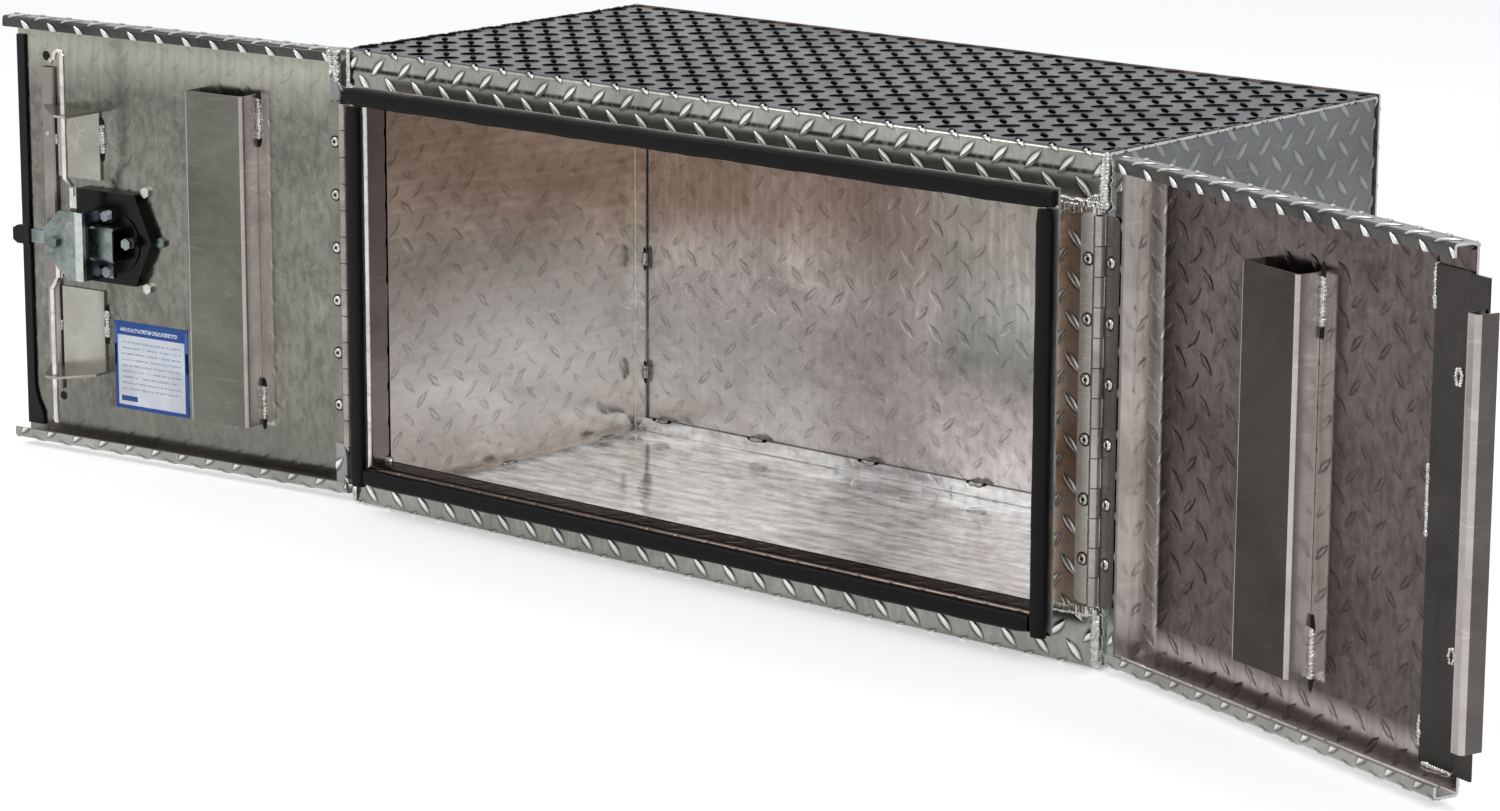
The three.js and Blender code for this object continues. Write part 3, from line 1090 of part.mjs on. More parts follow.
const upperRod = latchRod(
  UPPER_ROD_S, UPPER_EYE_Z, UPPER_STRAP_END, UPPER_JOGGLE_END, UPPER_ROD_TIP, 0,
);
const lowerRod = latchRod(
  LOWER_ROD_S, LOWER_EYE_Z, LOWER_STRAP_END, LOWER_JOGGLE_END, LOWER_ROD_TIP, LOWER_COLLAR_Z,
);
meshOf('upper_rod', upperRod, looks.steel, placed[LEFT]);
meshOf('lower_rod', lowerRod, looks.steel, placed[LEFT]);

// Rod guides.
function rodGuide(rodS, foot, top, finAtTop) {
  const seat = TRIM_SEAT;
  const sheet = doorBlock(LEFT, GUIDE_START_S, GUIDE_END_S, seat, seat + GUIDE_THICK, foot, top);
  const finFoot = finAtTop ? top - GUIDE_THICK : foot;
  const nose = [
    [GUIDE_START_S, seat],
    [GUIDE_FIN_END_S, seat],
    [GUIDE_FIN_END_S, seat + GUIDE_THICK],
    [rodS + GUIDE_NOSE_HALF, GUIDE_FIN_LEVEL],
    [rodS - GUIDE_NOSE_HALF, GUIDE_FIN_LEVEL],
    [GUIDE_START_S, GUIDE_FIN_SHORT],
  ];
  const clear = STRIP_HEIGHT + GAP;
  const outline = nose.map(([s, l]) => [doorX(LEFT, s), level(l)]);
  const fin = prismZ(outline, finFoot, finFoot + GUIDE_THICK);
  const notch = doorBlock(
    LEFT, STRIP_START_S - GAP, STRIP_END_S + GAP, seat - GAP, seat + clear, foot - GAP, top + GAP,
  );
  const hole = prismZ(
    circle(doorX(LEFT, rodS), level(ROD_LEVEL), ROD_RADIUS + GUIDE_HOLE_CLEARANCE, ROUND_SIDES),
    foot - GAP, top + GAP,
  );
  return cutBy(joined(sheet, fin), notch, hole);
}

const upperGuide = rodGuide(UPPER_ROD_S, UPPER_GUIDE_FOOT, UPPER_GUIDE_TOP, true);
const lowerGuide = rodGuide(LOWER_ROD_S, LOWER_GUIDE_FOOT, LOWER_GUIDE_TOP, false);
meshOf('upper_rod_guide', upperGuide, looks.plain, placed[LEFT]);
meshOf('lower_rod_guide', lowerGuide, looks.plain, placed[LEFT]);

// Bolts: five through the bezel and skin, two through the bracket's feet, and the lever's stop.
function throughBolt([s, z], outerFace, innerFace) {
  const head = doorBar(
    LEFT, s, z, outerFace - BOLT_HEAD_HEIGHT / 2, outerFace, BOLT_HEAD_RADIUS, SMALL_ROUND_SIDES,
  );
  const shank = doorBar(LEFT, s, z, outerFace - GAP, innerFace + GAP, BOLT_RADIUS, SMALL_ROUND_SIDES);
  const nut = doorBar(LEFT, s, z, innerFace, innerFace + BOLT_HEAD_HEIGHT, BOLT_HEAD_RADIUS, HEX_SIDES);
  return joined(head, shank, nut);
}

const bezelOutside = BEZEL_LEVEL - GAP;
const trayWords = ['hinge_upper', 'hinge_lower', 'point'];
trayBolts.forEach((place, i) => {
  const bolt = throughBolt(place, bezelOutside, SKIN_LEVEL + GAP);
  meshOf(`tray_bolt_${trayWords[i]}`, bolt, looks.steel, placed[LEFT]);
});
const dishInside = TRAY_LEVEL - TRAY_WALL - GAP;
const toeTop = TRAY_LEVEL + GAP + SHEET_THICK + GAP;
bracketFeet.forEach((place, i) => {
  const bolt = throughBolt(place, dishInside, toeTop);
  meshOf(`bracket_bolt_${i === 0 ? 'upper' : 'lower'}`, bolt, looks.steel, placed[LEFT]);
});

function stopBolt() {
  const place = [STOP_BOLT_S, STOP_BOLT_Z];
  const top = TRAY_LEVEL + GAP + STOP_BOLT_HEIGHT;
  const bolt = throughBolt(place, dishInside, TRAY_LEVEL + GAP);
  const headFoot = top - BOLT_HEAD_HEIGHT;
  const shank = doorBar(LEFT, ...place, TRAY_LEVEL, top, BOLT_RADIUS, SMALL_ROUND_SIDES);
  const head = doorBar(LEFT, ...place, headFoot, top, STOP_BOLT_HEAD_RADIUS, HEX_SIDES);
  return joined(bolt, shank, head);
}

meshOf('lever_stop_bolt', stopBolt(), looks.steel, placed[LEFT]);

export default group;
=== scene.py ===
# %% [markdown]
# # An underbody tool box, dressed for its picture
# The box hangs under a truck bed. Its panels are folded from aluminium tread plate, and its two
# doors open like a barn's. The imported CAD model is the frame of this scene: it says where every
# piece is, and which body each one moves with. This script adds what the CAD leaves out, such as
# the lugs of the tread, the welds, the sponge's waves and every finish.

# %% Load the frame and keep its box
import math
import bmesh
import bpy
from mathutils import Matrix, Vector


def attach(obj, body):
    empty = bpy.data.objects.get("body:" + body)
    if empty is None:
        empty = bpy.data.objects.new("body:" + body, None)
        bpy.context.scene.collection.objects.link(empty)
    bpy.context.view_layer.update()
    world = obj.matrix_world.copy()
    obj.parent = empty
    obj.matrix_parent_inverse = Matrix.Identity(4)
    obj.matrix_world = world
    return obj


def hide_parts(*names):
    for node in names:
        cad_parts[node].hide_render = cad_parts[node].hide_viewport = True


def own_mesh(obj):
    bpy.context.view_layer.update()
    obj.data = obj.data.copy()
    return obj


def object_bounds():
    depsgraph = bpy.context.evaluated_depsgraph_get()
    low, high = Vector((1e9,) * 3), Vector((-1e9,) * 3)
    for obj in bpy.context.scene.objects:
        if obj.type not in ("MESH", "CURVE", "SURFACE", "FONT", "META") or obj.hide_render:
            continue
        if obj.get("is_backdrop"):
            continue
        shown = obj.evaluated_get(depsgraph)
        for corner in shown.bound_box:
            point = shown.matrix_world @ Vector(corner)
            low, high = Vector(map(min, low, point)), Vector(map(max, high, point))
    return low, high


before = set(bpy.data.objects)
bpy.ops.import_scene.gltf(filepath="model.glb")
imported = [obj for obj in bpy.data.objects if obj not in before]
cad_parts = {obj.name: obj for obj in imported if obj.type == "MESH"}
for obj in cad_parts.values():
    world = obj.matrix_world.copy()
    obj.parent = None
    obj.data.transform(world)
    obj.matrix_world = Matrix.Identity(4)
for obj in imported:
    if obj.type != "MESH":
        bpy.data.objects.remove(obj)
cad_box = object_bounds()

# %% [markdown]
# Sizes are written once, with the names a maker would use, and times MM they are metres. The body
# is a box of 914 x 457 x 425.5 mm whose front opening has a frame 51 mm wide. Positions on a door
# are given as on the bench, in millimetres: a distance from the box's side, a height, and a level
# above the lips' plane.

# %% The maker's sizes
MM = 0.001
HALF_WIDTH = 457.2 * MM
HEIGHT = 457.2 * MM
FRONT = -212.75 * MM
BACK = 212.75 * MM
LUG_RISE = 1.5 * MM
SHEET = 2.5 * MM
TREAD = LUG_RISE + SHEET
TREAD_CLEAR = 4.3 * MM
PAST_BEND = 5.6 * MM
FRAME_BAND = 50.8 * MM
OPEN_HALF = HALF_WIDTH - FRAME_BAND
OPEN_TOP = HEIGHT - FRAME_BAND
OPEN_FOOT = FRAME_BAND
LIP_REACH = 25.4 * MM
RETURN_BAND = 19.4 * MM
RETURN_PLANE = FRONT - LIP_REACH
SHELL_BACK = BACK - TREAD_CLEAR
AXIS_X = 455.2 * MM
AXIS_Y = -218.55 * MM
LIPS = -224.35 * MM
DOOR_OUTER = -252.75 * MM
DOOR_FOOT = 6.4 * MM
DOOR_TOP = 454.0 * MM
DOOR_HINGE_X = 447.2 * MM
DOOR_FREE_X = 2.0 * MM
REAR_FLANGE = 18 * MM
SKIN_FACE = -24.3
LEFT, RIGHT = -1, 1
OPEN_DEGREES = {LEFT: 173.4, RIGHT: 161.5}

opened = {}
for side in (LEFT, RIGHT):
    hinge = Vector((side * AXIS_X, AXIS_Y, 0))
    turn = Matrix.Rotation(math.radians(side * OPEN_DEGREES[side]), 4, "Z")
    opened[side] = Matrix.Translation(hinge) @ turn @ Matrix.Translation(-hinge)


def bench_x(side, s):
    """Where a distance from the box's side lies across the box, with the door shut."""
    return side * (HALF_WIDTH - s * MM)


def on_door(side, s, z, level):
    """A point of an open door from its bench position in millimetres."""
    return opened[side] @ Vector((bench_x(side, s), LIPS + level * MM, z * MM))


print("left door's free corner:", [round(v, 3) for v in on_door(LEFT, 455.2, 454, 0)])

# %% [markdown]
# Finishes and lamps are trees of nodes. An effect that several finishes share is a node group, so
# that one change reaches them all: a group puts out only a value, and the shader stays in the
# material. These helpers make a group's sockets and keep the wiring short.

# %% Helpers for node trees
def new_group(name, inputs):
    """A node group with float or vector inputs and one output called Value."""
    group = bpy.data.node_groups.new(name, "ShaderNodeTree")
    for label, kind, value in inputs:
        socket = group.interface.new_socket(label, in_out="INPUT", socket_type=kind)
        if value is not None:
            socket.default_value = value
    group.interface.new_socket("Value", in_out="OUTPUT", socket_type="NodeSocketFloat")
    entry = group.nodes.new("NodeGroupInput")
    leave = group.nodes.new("NodeGroupOutput")
    return group, entry, leave


def feed(tree, target, value):
    """Links a socket, or sets a number, on a node's input."""
    if isinstance(value, bpy.types.NodeSocket):
        tree.links.new(value, target)
    else:
        target.default_value = value


def math_node(tree, operation, a, b=None, clamp=False):
    node = tree.nodes.new("ShaderNodeMath")
    node.operation = operation
    node.use_clamp = clamp
    feed(tree, node.inputs[0], a)
    if b is not None:
        feed(tree, node.inputs[1], b)
    return node.outputs[0]


def times(tree, a, b):
    return math_node(tree, "MULTIPLY", a, b)


def vector_node(tree, operation, a, b):
    """A vector sum; b is the second vector, or the factor where the operation is SCALE."""
    node = tree.nodes.new("ShaderNodeVectorMath")
    node.operation = operation
    feed(tree, node.inputs[0], a)
    feed(tree, node.inputs["Scale" if operation == "SCALE" else 1], b)
    return node.outputs[0]


def split(tree, vector):
    """The two or three numbers of a vector."""
    node = tree.nodes.new("ShaderNodeSeparateXYZ")
    feed(tree, node.inputs[0], vector)
    return node.outputs


def spread(tree, value, low, high, to_low=0.0, to_high=1.0):
    """Maps a range of values to another, held at both ends."""
    node = tree.nodes.new("ShaderNodeMapRange")
    labels = ("Value", "From Min", "From Max", "To Min", "To Max")
    for label, item in zip(labels, (value, low, high, to_low, to_high)):
        feed(tree, node.inputs[label], item)
    return node.outputs[0]


def noise(tree, vector, scale, detail=2.0, roughness=0.5, distortion=0.0, output="Fac"):
    node = tree.nodes.new("ShaderNodeTexNoise")
    labels = ("Vector", "Scale", "Detail", "Roughness", "Distortion")
    for label, item in zip(labels, (vector, scale, detail, roughness, distortion)):
        feed(tree, node.inputs[label], item)
    return node.outputs[output]


def group_node(tree, group, **values):
    node = tree.nodes.new("ShaderNodeGroup")
    node.node_tree = group
    for label, value in values.items():
        feed(tree, node.inputs[label], value)
    return node.outputs["Value"]


def seen_directly(tree):
    """The light path's outputs, and one for the rays of the camera and of reflections."""
    path = tree.nodes.new("ShaderNodeLightPath").outputs
    return path, math_node(tree, "MAXIMUM", path["Is Camera Ray"], path["Is Glossy Ray"])


print("node helpers ready")

# %% [markdown]
# The camera stands 4.4 m off, to the right of the box, and looks slightly down. Its place
# was fitted to the corners of the box and doors, so it needs no shift.

# %% Camera
eye = Vector((2.675, -3.28575, 1.095))
yaw, pitch, roll = math.radians(-40.38), math.radians(-12.81), math.radians(0.21)
ahead = Vector((math.sin(yaw) * math.cos(pitch), math.cos(yaw) * math.cos(pitch), math.sin(pitch)))
level_right = Vector((math.cos(yaw), -math.sin(yaw), 0))
level_up = level_right.cross(ahead)
right = level_right * math.cos(roll) + level_up * math.sin(roll)
up = level_up * math.cos(roll) - level_right * math.sin(roll)
lens = bpy.data.cameras.new("camera")
lens.lens = 108.6
lens.sensor_width = 36.0
lens.clip_end = 60.0
camera = bpy.data.objects.new("camera", lens)
axes = Matrix((right, up, -ahead)).transposed().to_4x4()
camera.matrix_world = Matrix.Translation(eye) @ axes
bpy.context.collection.objects.link(camera)
bpy.context.scene.camera = camera
print("camera stands", round(eye.length, 2), "m from the box")

# %% [markdown]
# Metal shows what stands around it, so the studio matters more than the lamps. The world is white
# to the camera and in reflections, and softer to the diffuse light that falls on rubber and card.
# Three wide soft lamps give the lugs their bright sides, and a pale floor takes the shadow.

# %% Studio
scene = bpy.context.scene
scene.view_settings.view_transform = "Standard"
world = bpy.data.worlds.new("studio")
scene.world = world
world.use_nodes = True
tree = world.node_tree
for node in list(tree.nodes):
    tree.nodes.remove(node)


def backdrop(tint, strength):
    node = tree.nodes.new("ShaderNodeBackground")
    node.inputs["Color"].default_value = tint
    node.inputs["Strength"].default_value = strength
    return node.outputs[0]


path, seen = seen_directly(tree)
choose = tree.nodes.new("ShaderNodeMixShader")
out = tree.nodes.new("ShaderNodeOutputWorld")
tree.links.new(math_node(tree, "MAXIMUM", seen, path["Is Transmission Ray"]), choose.inputs[0])
tree.links.new(backdrop((0.8, 0.82, 0.85, 1), 0.55), choose.inputs[1])
tree.links.new(backdrop((1, 1, 1, 1), 1.0), choose.inputs[2])
tree.links.new(choose.outputs[0], out.inputs["Surface"])


def softbox(name, place, target, size, power):
    lamp = bpy.data.lights.new(name, "AREA")
    lamp.shape = "RECTANGLE"
    lamp.size, lamp.size_y = size
    lamp.energy = power
    item = bpy.data.objects.new(name, lamp)
    item.location = place
    item.rotation_euler = (Vector(target) - Vector(place)).to_track_quat("-Z", "Y").to_euler()
    bpy.context.collection.objects.link(item)


softbox("key", (-1.6, -2.4, 2.6), (0, 0, 0.25), (1.8, 1.2), 34)
softbox("fill", (2.6, -1.6, 1.9), (0.2, 0, 0.2), (1.2, 1.2), 16)
softbox("top", (0.2, 0.9, 3.0), (0, 0, 0.3), (1.6, 0.8), 20)

FLOOR_REACH = 14
corners = [(x * FLOOR_REACH, y * FLOOR_REACH, 0) for x, y in ((-1, -1), (1, -1), (1, 1), (-1, 1))]
floor_mesh = bpy.data.meshes.new("studio_floor")
floor_mesh.from_pydata(corners, [], [(0, 1, 2, 3)])
floor = bpy.data.objects.new("studio_floor", floor_mesh)
floor.location.z = -0.5 * MM
bpy.context.collection.objects.link(floor)
floor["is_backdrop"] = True

# %% [markdown]
# The floor is a catcher: to the camera it is nearly white with the box's soft shadow in it. A
# diffuse surface alone would render grey away from the lamps, so part of it glows white for the
# rays that see it directly.

# %% Floor finish
GLOW = 0.45
floor_look = bpy.data.materials.new("pale_floor")
floor_look.use_nodes = True
tree = floor_look.node_tree
shader = tree.nodes["Principled BSDF"]
shader.inputs["Base Color"].default_value = (0.9, 0.9, 0.9, 1)
shader.inputs["Roughness"].default_value = 0.9
shader.inputs["Emission Color"].default_value = (1, 1, 1, 1)
path, seen = seen_directly(tree)
tree.links.new(times(tree, seen, GLOW), shader.inputs["Emission Strength"])
floor_mesh.materials.append(floor_look)
print("floor:", floor_look.name)

# %% [markdown]
# The tread's pattern is a lattice of pointed lugs that lie on alternating diagonals. The back of
# the sheet shows each of them as a faint smudge. This group answers, for a place on the flat
# sheet, how deep it lies inside a lug's lens. A slight wobble keeps the prints from looking stamped.

# %% Lug print group
LUG_PITCH = 36.0 * MM
LUG_LENGTH = 26.0 * MM
LUG_WIDTH = 7.4 * MM
DIAGONAL = math.sqrt(0.5) * 2
VECTOR = "NodeSocketVector"
FLOAT = "NodeSocketFloat"

lug_print, entry, leave = new_group("lug_print", [
    ("Vector", VECTOR, None), ("Pitch", FLOAT, LUG_PITCH), ("Length", FLOAT, LUG_LENGTH),
    ("Width", FLOAT, LUG_WIDTH), ("Wobble", FLOAT, 0.0), ("Softness", FLOAT, 0.5),
])
here, pitch = entry.outputs["Vector"], entry.outputs["Pitch"]
shift = vector_node(lug_print, "SUBTRACT", noise(lug_print, here, 130.0, output="Color"), (0.5, 0.5, 0.5))
shift = vector_node(lug_print, "SCALE", shift, entry.outputs["Wobble"])
spots = split(lug_print, vector_node(lug_print, "ADD", here, shift))
depths = []
for offset, sign in ((0.0, 1.0), (0.5, -1.0)):
    steps = []
    for axis in (0, 1):
        cells = math_node(lug_print, "ADD", math_node(lug_print, "DIVIDE", spots[axis], pitch), offset)
        away = math_node(lug_print, "SUBTRACT", cells, math_node(lug_print, "ROUND", cells))
        steps.append(times(lug_print, away, pitch))
    second = times(lug_print, steps[1], sign)
    shares = []
    for operation, size in (("ADD", "Length"), ("SUBTRACT", "Width")):
        reach = times(lug_print, math_node(lug_print, operation, steps[0], second), DIAGONAL)
        share = math_node(lug_print, "DIVIDE", reach, entry.outputs[size])
        shares.append(math_node(lug_print, "ABSOLUTE", share))
    used = math_node(lug_print, "ADD", math_node(lug_print, "POWER", shares[0], 2.0), shares[1])
    depths.append(math_node(lug_print, "SUBTRACT", 1.0, used))
deeper = math_node(lug_print, "MAXIMUM", depths[0], depths[1])
lug_print.links.new(spread(lug_print, deeper, 0.0, entry.outputs["Softness"]), leave.inputs["Value"])
print("lug pitch", LUG_PITCH, "m")

# %% [markdown]
# Four more shared effects: the fine grain that the mill's rolls leave, cloudy stains from handling
# and cleaning, the slow waves that bend reflections in any thin sheet, and broken scratches.

# %% Grain, stain and wave groups
CLOUD_EDGE = 0.16


def stretched(tree, vector, stretch):
    return vector_node(tree, "MULTIPLY", vector, stretch)


def effect_group(name, scale, share=None):
    """A group with a place, a scale and maybe a share, and short names for its sockets."""
    inputs = [("Vector", VECTOR, None), ("Scale", FLOAT, scale)]
    if share is not None:
        inputs.append(("Share", FLOAT, share))
    group, entry, leave = new_group(name, inputs)
    return group, entry.outputs, leave.inputs["Value"]


rolled_grain, given, result = effect_group("rolled_grain", 900.0)
along_mill = stretched(rolled_grain, given["Vector"], (0.04, 1.0, 1.0))
rolled_grain.links.new(noise(rolled_grain, along_mill, given["Scale"], 3.0, 0.65), result)

stains, given, result = effect_group("stains", 9.0, 0.5)
clouds = noise(stains, given["Vector"], given["Scale"], 6.0, 0.62, 0.6)
edge = math_node(stains, "SUBTRACT", 1.0, given["Share"])
low = math_node(stains, "SUBTRACT", edge, CLOUD_EDGE)
high = math_node(stains, "ADD", edge, CLOUD_EDGE)
stains.links.new(spread(stains, clouds, low, high), result)

sheet_waves, given, result = effect_group("sheet_waves", 7.0)
sheet_waves.links.new(noise(sheet_waves, given["Vector"], given["Scale"], 1.0, 0.4), result)

scratches, given, result = effect_group("scratches", 60.0, 0.06)
lines = scratches.nodes.new("ShaderNodeTexVoronoi")
lines.feature = "DISTANCE_TO_EDGE"
feed(scratches, lines.inputs["Vector"], stretched(scratches, given["Vector"], (1.0, 0.12, 1.0)))
feed(scratches, lines.inputs["Scale"], given["Scale"])
thin = spread(scratches, lines.outputs["Distance"], 0.0, given["Share"], 1.0, 0.0)
broken = spread(scratches, noise(scratches, given["Vector"], 22.0, 3.0), 0.52, 0.62)
scratches.links.new(times(scratches, thin, broken), result)
print("groups:", [g.name for g in bpy.data.node_groups])

# %% [markdown]
# One recipe makes every bare metal of the box, because they differ only in their numbers: the
# clean and the stained colour, how rough each is, how strong the waves and lug prints are. Flat
# sheet carries a map called sheet, in metres, so the pattern follows folds and open doors. The
# recipe's small parts come first.

# %% Colours, places and bumps
def colour(red, green, blue):
    """A colour as a screen shows it, turned into light."""
    def light(v):
        v = v / 255
        return v / 12.92 if v <= 0.04045 else ((v + 0.055) / 1.055) ** 2.4
    return (light(red), light(green), light(blue), 1.0)


def toned(tone, factor):
    return tuple(min(1.0, factor * v) for v in tone[:3]) + (1.0,)


def mix_colour(tree, factor, a, b):
    node = tree.nodes.new("ShaderNodeMix")
    node.data_type = "RGBA"
    feed(tree, node.inputs[0], factor)
    feed(tree, node.inputs[6], a)
    feed(tree, node.inputs[7], b)
    return node.outputs[2]


def flat_place(tree):
    """The place on the flat sheet."""
    node = tree.nodes.new("ShaderNodeUVMap")
    node.uv_map = "sheet"
    return node.outputs[0]


def object_place(tree):
    return tree.nodes.new("ShaderNodeTexCoord").outputs["Object"]


def set_bump(tree, shader, height):
    """Bends the surface's normal by a height in metres."""
    node = tree.nodes.new("ShaderNodeBump")
    node.inputs["Strength"].default_value = 1.0
    node.inputs["Distance"].default_value = 1.0
    tree.links.new(height, node.inputs["Height"])
    tree.links.new(node.outputs["Normal"], shader.inputs["Normal"])


print("white is", colour(255, 255, 255))

# %% [markdown]
# Then come the layers of a metal. Most take the shade so far and give it back with one effect more:
# small patches, a band of painted reflection or shade, the lugs' smudges, or painted shade and dirt
# round them. Glints are a light of their own.

# %% Layers of a metal
def mottled(tree, place, shade, clean, stained, amount):
    """Small dark and light patches, as handling leaves them."""
    dark = noise(tree, stretched(tree, place, (1.0, 0.45, 1.0)), 120.0, 4.0, 0.6)
    shade = mix_colour(tree, spread(tree, dark, 0.42, 0.62, 0.0, amount), shade, toned(stained, 0.5))
    light = noise(tree, place, 90.0, 4.0, 0.65)
    return mix_colour(tree, spread(tree, light, 0.56, 0.7, 0.0, amount), shade, toned(clean, 1.35))


def paint_band(tree, place, shade, x_range, y_range, soft, tone, amount):
    """Paints a band of reflection, highlight or shade, streaky inside and soft at its edges."""
    inside = noise(tree, stretched(tree, place, (1.0, 0.08, 1.0)), 160.0, 3.0)
    inside = spread(tree, inside, 0.34, 0.56, 0.7 * amount, amount)
    for position, (low, high) in zip(split(tree, place), (x_range, y_range)):
        rise = spread(tree, position, low - soft, low + soft)
        fall = spread(tree, position, high - soft, high + soft, 1.0, 0.0)
        inside = times(tree, inside, times(tree, rise, fall))
    return mix_colour(tree, inside, shade, colour(*tone))


def lug_mask(tree, place, length, width, softness, wobble=0.0):
    """How deep a place lies in a lug's lens, for a lens of these shares of a lug's size."""
    return group_node(tree, lug_print, Vector=place, Wobble=wobble, Length=LUG_LENGTH * length,
                      Width=LUG_WIDTH * width, Softness=softness)


def printed(tree, place, shade, height, amount, tone, depth):
    """The smudges that lugs leave on a sheet's back: a patchy ring and a shallow hollow."""
    mask = lug_mask(tree, place, 1.04, 1.25, 0.55, 0.0035)
    core = lug_mask(tree, place, 0.8, 0.6, 0.6, 0.003)
    ring = math_node(tree, "SUBTRACT", mask, times(tree, core, 0.9))
    patchy = spread(tree, noise(tree, place, 38.0, 3.0, 0.6), 0.38, 0.6)
    shade = mix_colour(tree, times(tree, ring, times(tree, patchy, amount)), shade, colour(*tone))
    return shade, math_node(tree, "ADD", height, times(tree, mask, -depth * MM))


def shade_and_dirt_round_lugs(tree, place, shade, amount, tone, crown):
    """Painted shade and dirt round a lug's foot, or on a lug itself, all round its lighter crown."""
    if crown:
        foot = math_node(tree, "SUBTRACT", 1.0, lug_mask(tree, place, 1.01, 1.04, 0.62))
    else:
        foot = lug_mask(tree, place, 1.14, 1.75, 0.5)
    return mix_colour(tree, times(tree, foot, amount), shade, colour(*tone))


def give_glints(tree, place, shader, strength, stretch, scale, between, fading):
    """A faint light in streaks that fade out between two heights of the map."""
    streaks = spread(tree, noise(tree, stretched(tree, place, stretch), scale, 5.0, 0.6), *between)
    streaks = times(tree, streaks, spread(tree, split(tree, place)[1], *fading, 1.0, 0.0))
    light = mix_colour(tree, streaks, colour(0, 0, 0), colour(244, 246, 250))
    tree.links.new(light, shader.inputs["Emission Color"])
    shader.inputs["Emission Strength"].default_value = strength


print("layers ready for lugs of", LUG_LENGTH, "by", LUG_WIDTH, "m")

# %% [markdown]
# The recipe takes its colours as a screen shows them. Two colours and two roughnesses tell most
# metals apart, and the rest stay at values that suit rolled sheet. Each metal goes into the
# dictionary looks by its name.

# %% Metal recipe
GRAIN_SCALE = 900.0
GRAIN_DEPTH = 0.02 * MM
PRINT_DEPTH = 0.3
looks = {}


def new_look(name):
    look = bpy.data.materials.new(name)
    look.use_nodes = True
    looks[name] = look
    return look.node_tree, look.node_tree.nodes["Principled BSDF"]


# outline darkens round each lug's foot, painted shade and dirt, or with crown a lug's flanks round its crest.
# Every one of the bands is painted reflection, highlight or shade.
def metal(name, clean, stained, rough, stain_share=0.45, stain_scale=9.0, waves=0.0012, flat=True,
          metallic=1.0, edge_tint=1.0, mottle=0.0, painted_bands=(), prints=0.0, print_colour=None,
          print_depth=PRINT_DEPTH, outline=0.0, shade_and_dirt_colour=None, crown=False, glints=None):
    """Makes a bare metal. rough holds the roughness of clean and of stained metal."""
    tree, shader = new_look(name)
    shader.inputs["Metallic"].default_value = metallic
    shader.inputs["Specular Tint"].default_value = (edge_tint, edge_tint, edge_tint, 1.0)
    clean, stained = colour(*clean), colour(*stained)
    place = flat_place(tree) if flat else object_place(tree)
    streaks = group_node(tree, rolled_grain, Vector=place, Scale=GRAIN_SCALE)
    cloud = group_node(tree, stains, Vector=place, Scale=stain_scale, Share=stain_share)
    slow = group_node(tree, sheet_waves, Vector=place, Scale=7.0)
    marks = group_node(tree, scratches, Vector=place, Scale=60.0, Share=0.05)
    shade = mix_colour(tree, cloud, clean, stained)
    shade = mix_colour(tree, spread(tree, streaks, 0.3, 0.7, 0.0, 0.18), shade, toned(clean, 0.72))
    shade = mix_colour(tree, times(tree, marks, 0.35), shade, toned(clean, 1.5))
    if mottle:
        shade = mottled(tree, place, shade, clean, stained, mottle)
    for band in painted_bands:
        shade = paint_band(tree, place, shade, *band)
    height = math_node(tree, "ADD", times(tree, streaks, GRAIN_DEPTH), times(tree, slow, waves))
    if prints:
        shade, height = printed(tree, place, shade, height, prints, print_colour, print_depth)
    if outline:
        shade = shade_and_dirt_round_lugs(tree, place, shade, outline, shade_and_dirt_colour, crown)
    tree.links.new(shade, shader.inputs["Base Color"])
    if glints:
        give_glints(tree, place, shader, **glints)
    roughness = spread(tree, cloud, 0.0, 1.0, *rough)
    grain_effect = spread(tree, streaks, 0.2, 0.8, -0.04, 0.04)
    tree.links.new(math_node(tree, "ADD", roughness, grain_effect, clamp=True), shader.inputs["Roughness"])
    set_bump(tree, shader, height)


print("grain", GRAIN_DEPTH, "m deep")

# %% [markdown]
# The tread plate's finishes are all one aluminium, painted lighter or darker by how the light falls
# on each face. Outside, the sheet is bright with painted shade and dirt at the foot of each lug, and
# the lugs are painted brighter still as highlights. The roof is painted dark with near black lugs,
# the sides and back a little darker than the front, the sides' bands beside the opening brown as a
# painted reflection, and the doors' rims dark at the top and light at the bottom. A roof seen at a
# low angle mirrors the sky more than its own colour, so its edge tint is low. Rails and the frame's
# bands have finishes of their own.

# %% Tread plate finishes
FOOT_SHADE_AND_DIRT = (26, 26, 25)
metal("tread_bright", (150, 152, 148), (114, 116, 111), (0.2, 0.34), outline=0.9, shade_and_dirt_colour=FOOT_SHADE_AND_DIRT)
metal("lug_bright", (236, 237, 234), (194, 195, 192), (0.14, 0.24),
      outline=0.9, shade_and_dirt_colour=(48, 48, 46), crown=True)
metal("tread_roof", (93, 96, 100), (74, 77, 81), (0.2, 0.3), edge_tint=0.66,
      outline=0.7, shade_and_dirt_colour=(20, 22, 24))
metal("lug_roof", (22, 24, 26), (15, 17, 18), (0.24, 0.34), edge_tint=0.2)
metal("tread_side", (112, 114, 115), (96, 98, 99), (0.22, 0.34), outline=0.5, shade_and_dirt_colour=(78, 80, 81))
metal("lug_side", (146, 148, 148), (118, 120, 120), (0.2, 0.3),
      outline=0.6, shade_and_dirt_colour=(84, 86, 87), crown=True)
metal("tread_back", (138, 140, 139), (114, 116, 114), (0.22, 0.34),
      outline=0.8, shade_and_dirt_colour=(56, 57, 56))
metal("lug_back", (204, 205, 203), (166, 167, 165), (0.16, 0.28),
      outline=0.8, shade_and_dirt_colour=(64, 65, 64), crown=True)
metal("tread_brown", (196, 180, 166), (146, 112, 88), (0.2, 0.34), metallic=0.8,
      outline=0.8, shade_and_dirt_colour=(40, 32, 27))
metal("lip_dark", (88, 86, 84), (56, 54, 53), (0.16, 0.28), outline=0.9, shade_and_dirt_colour=(14, 14, 14))
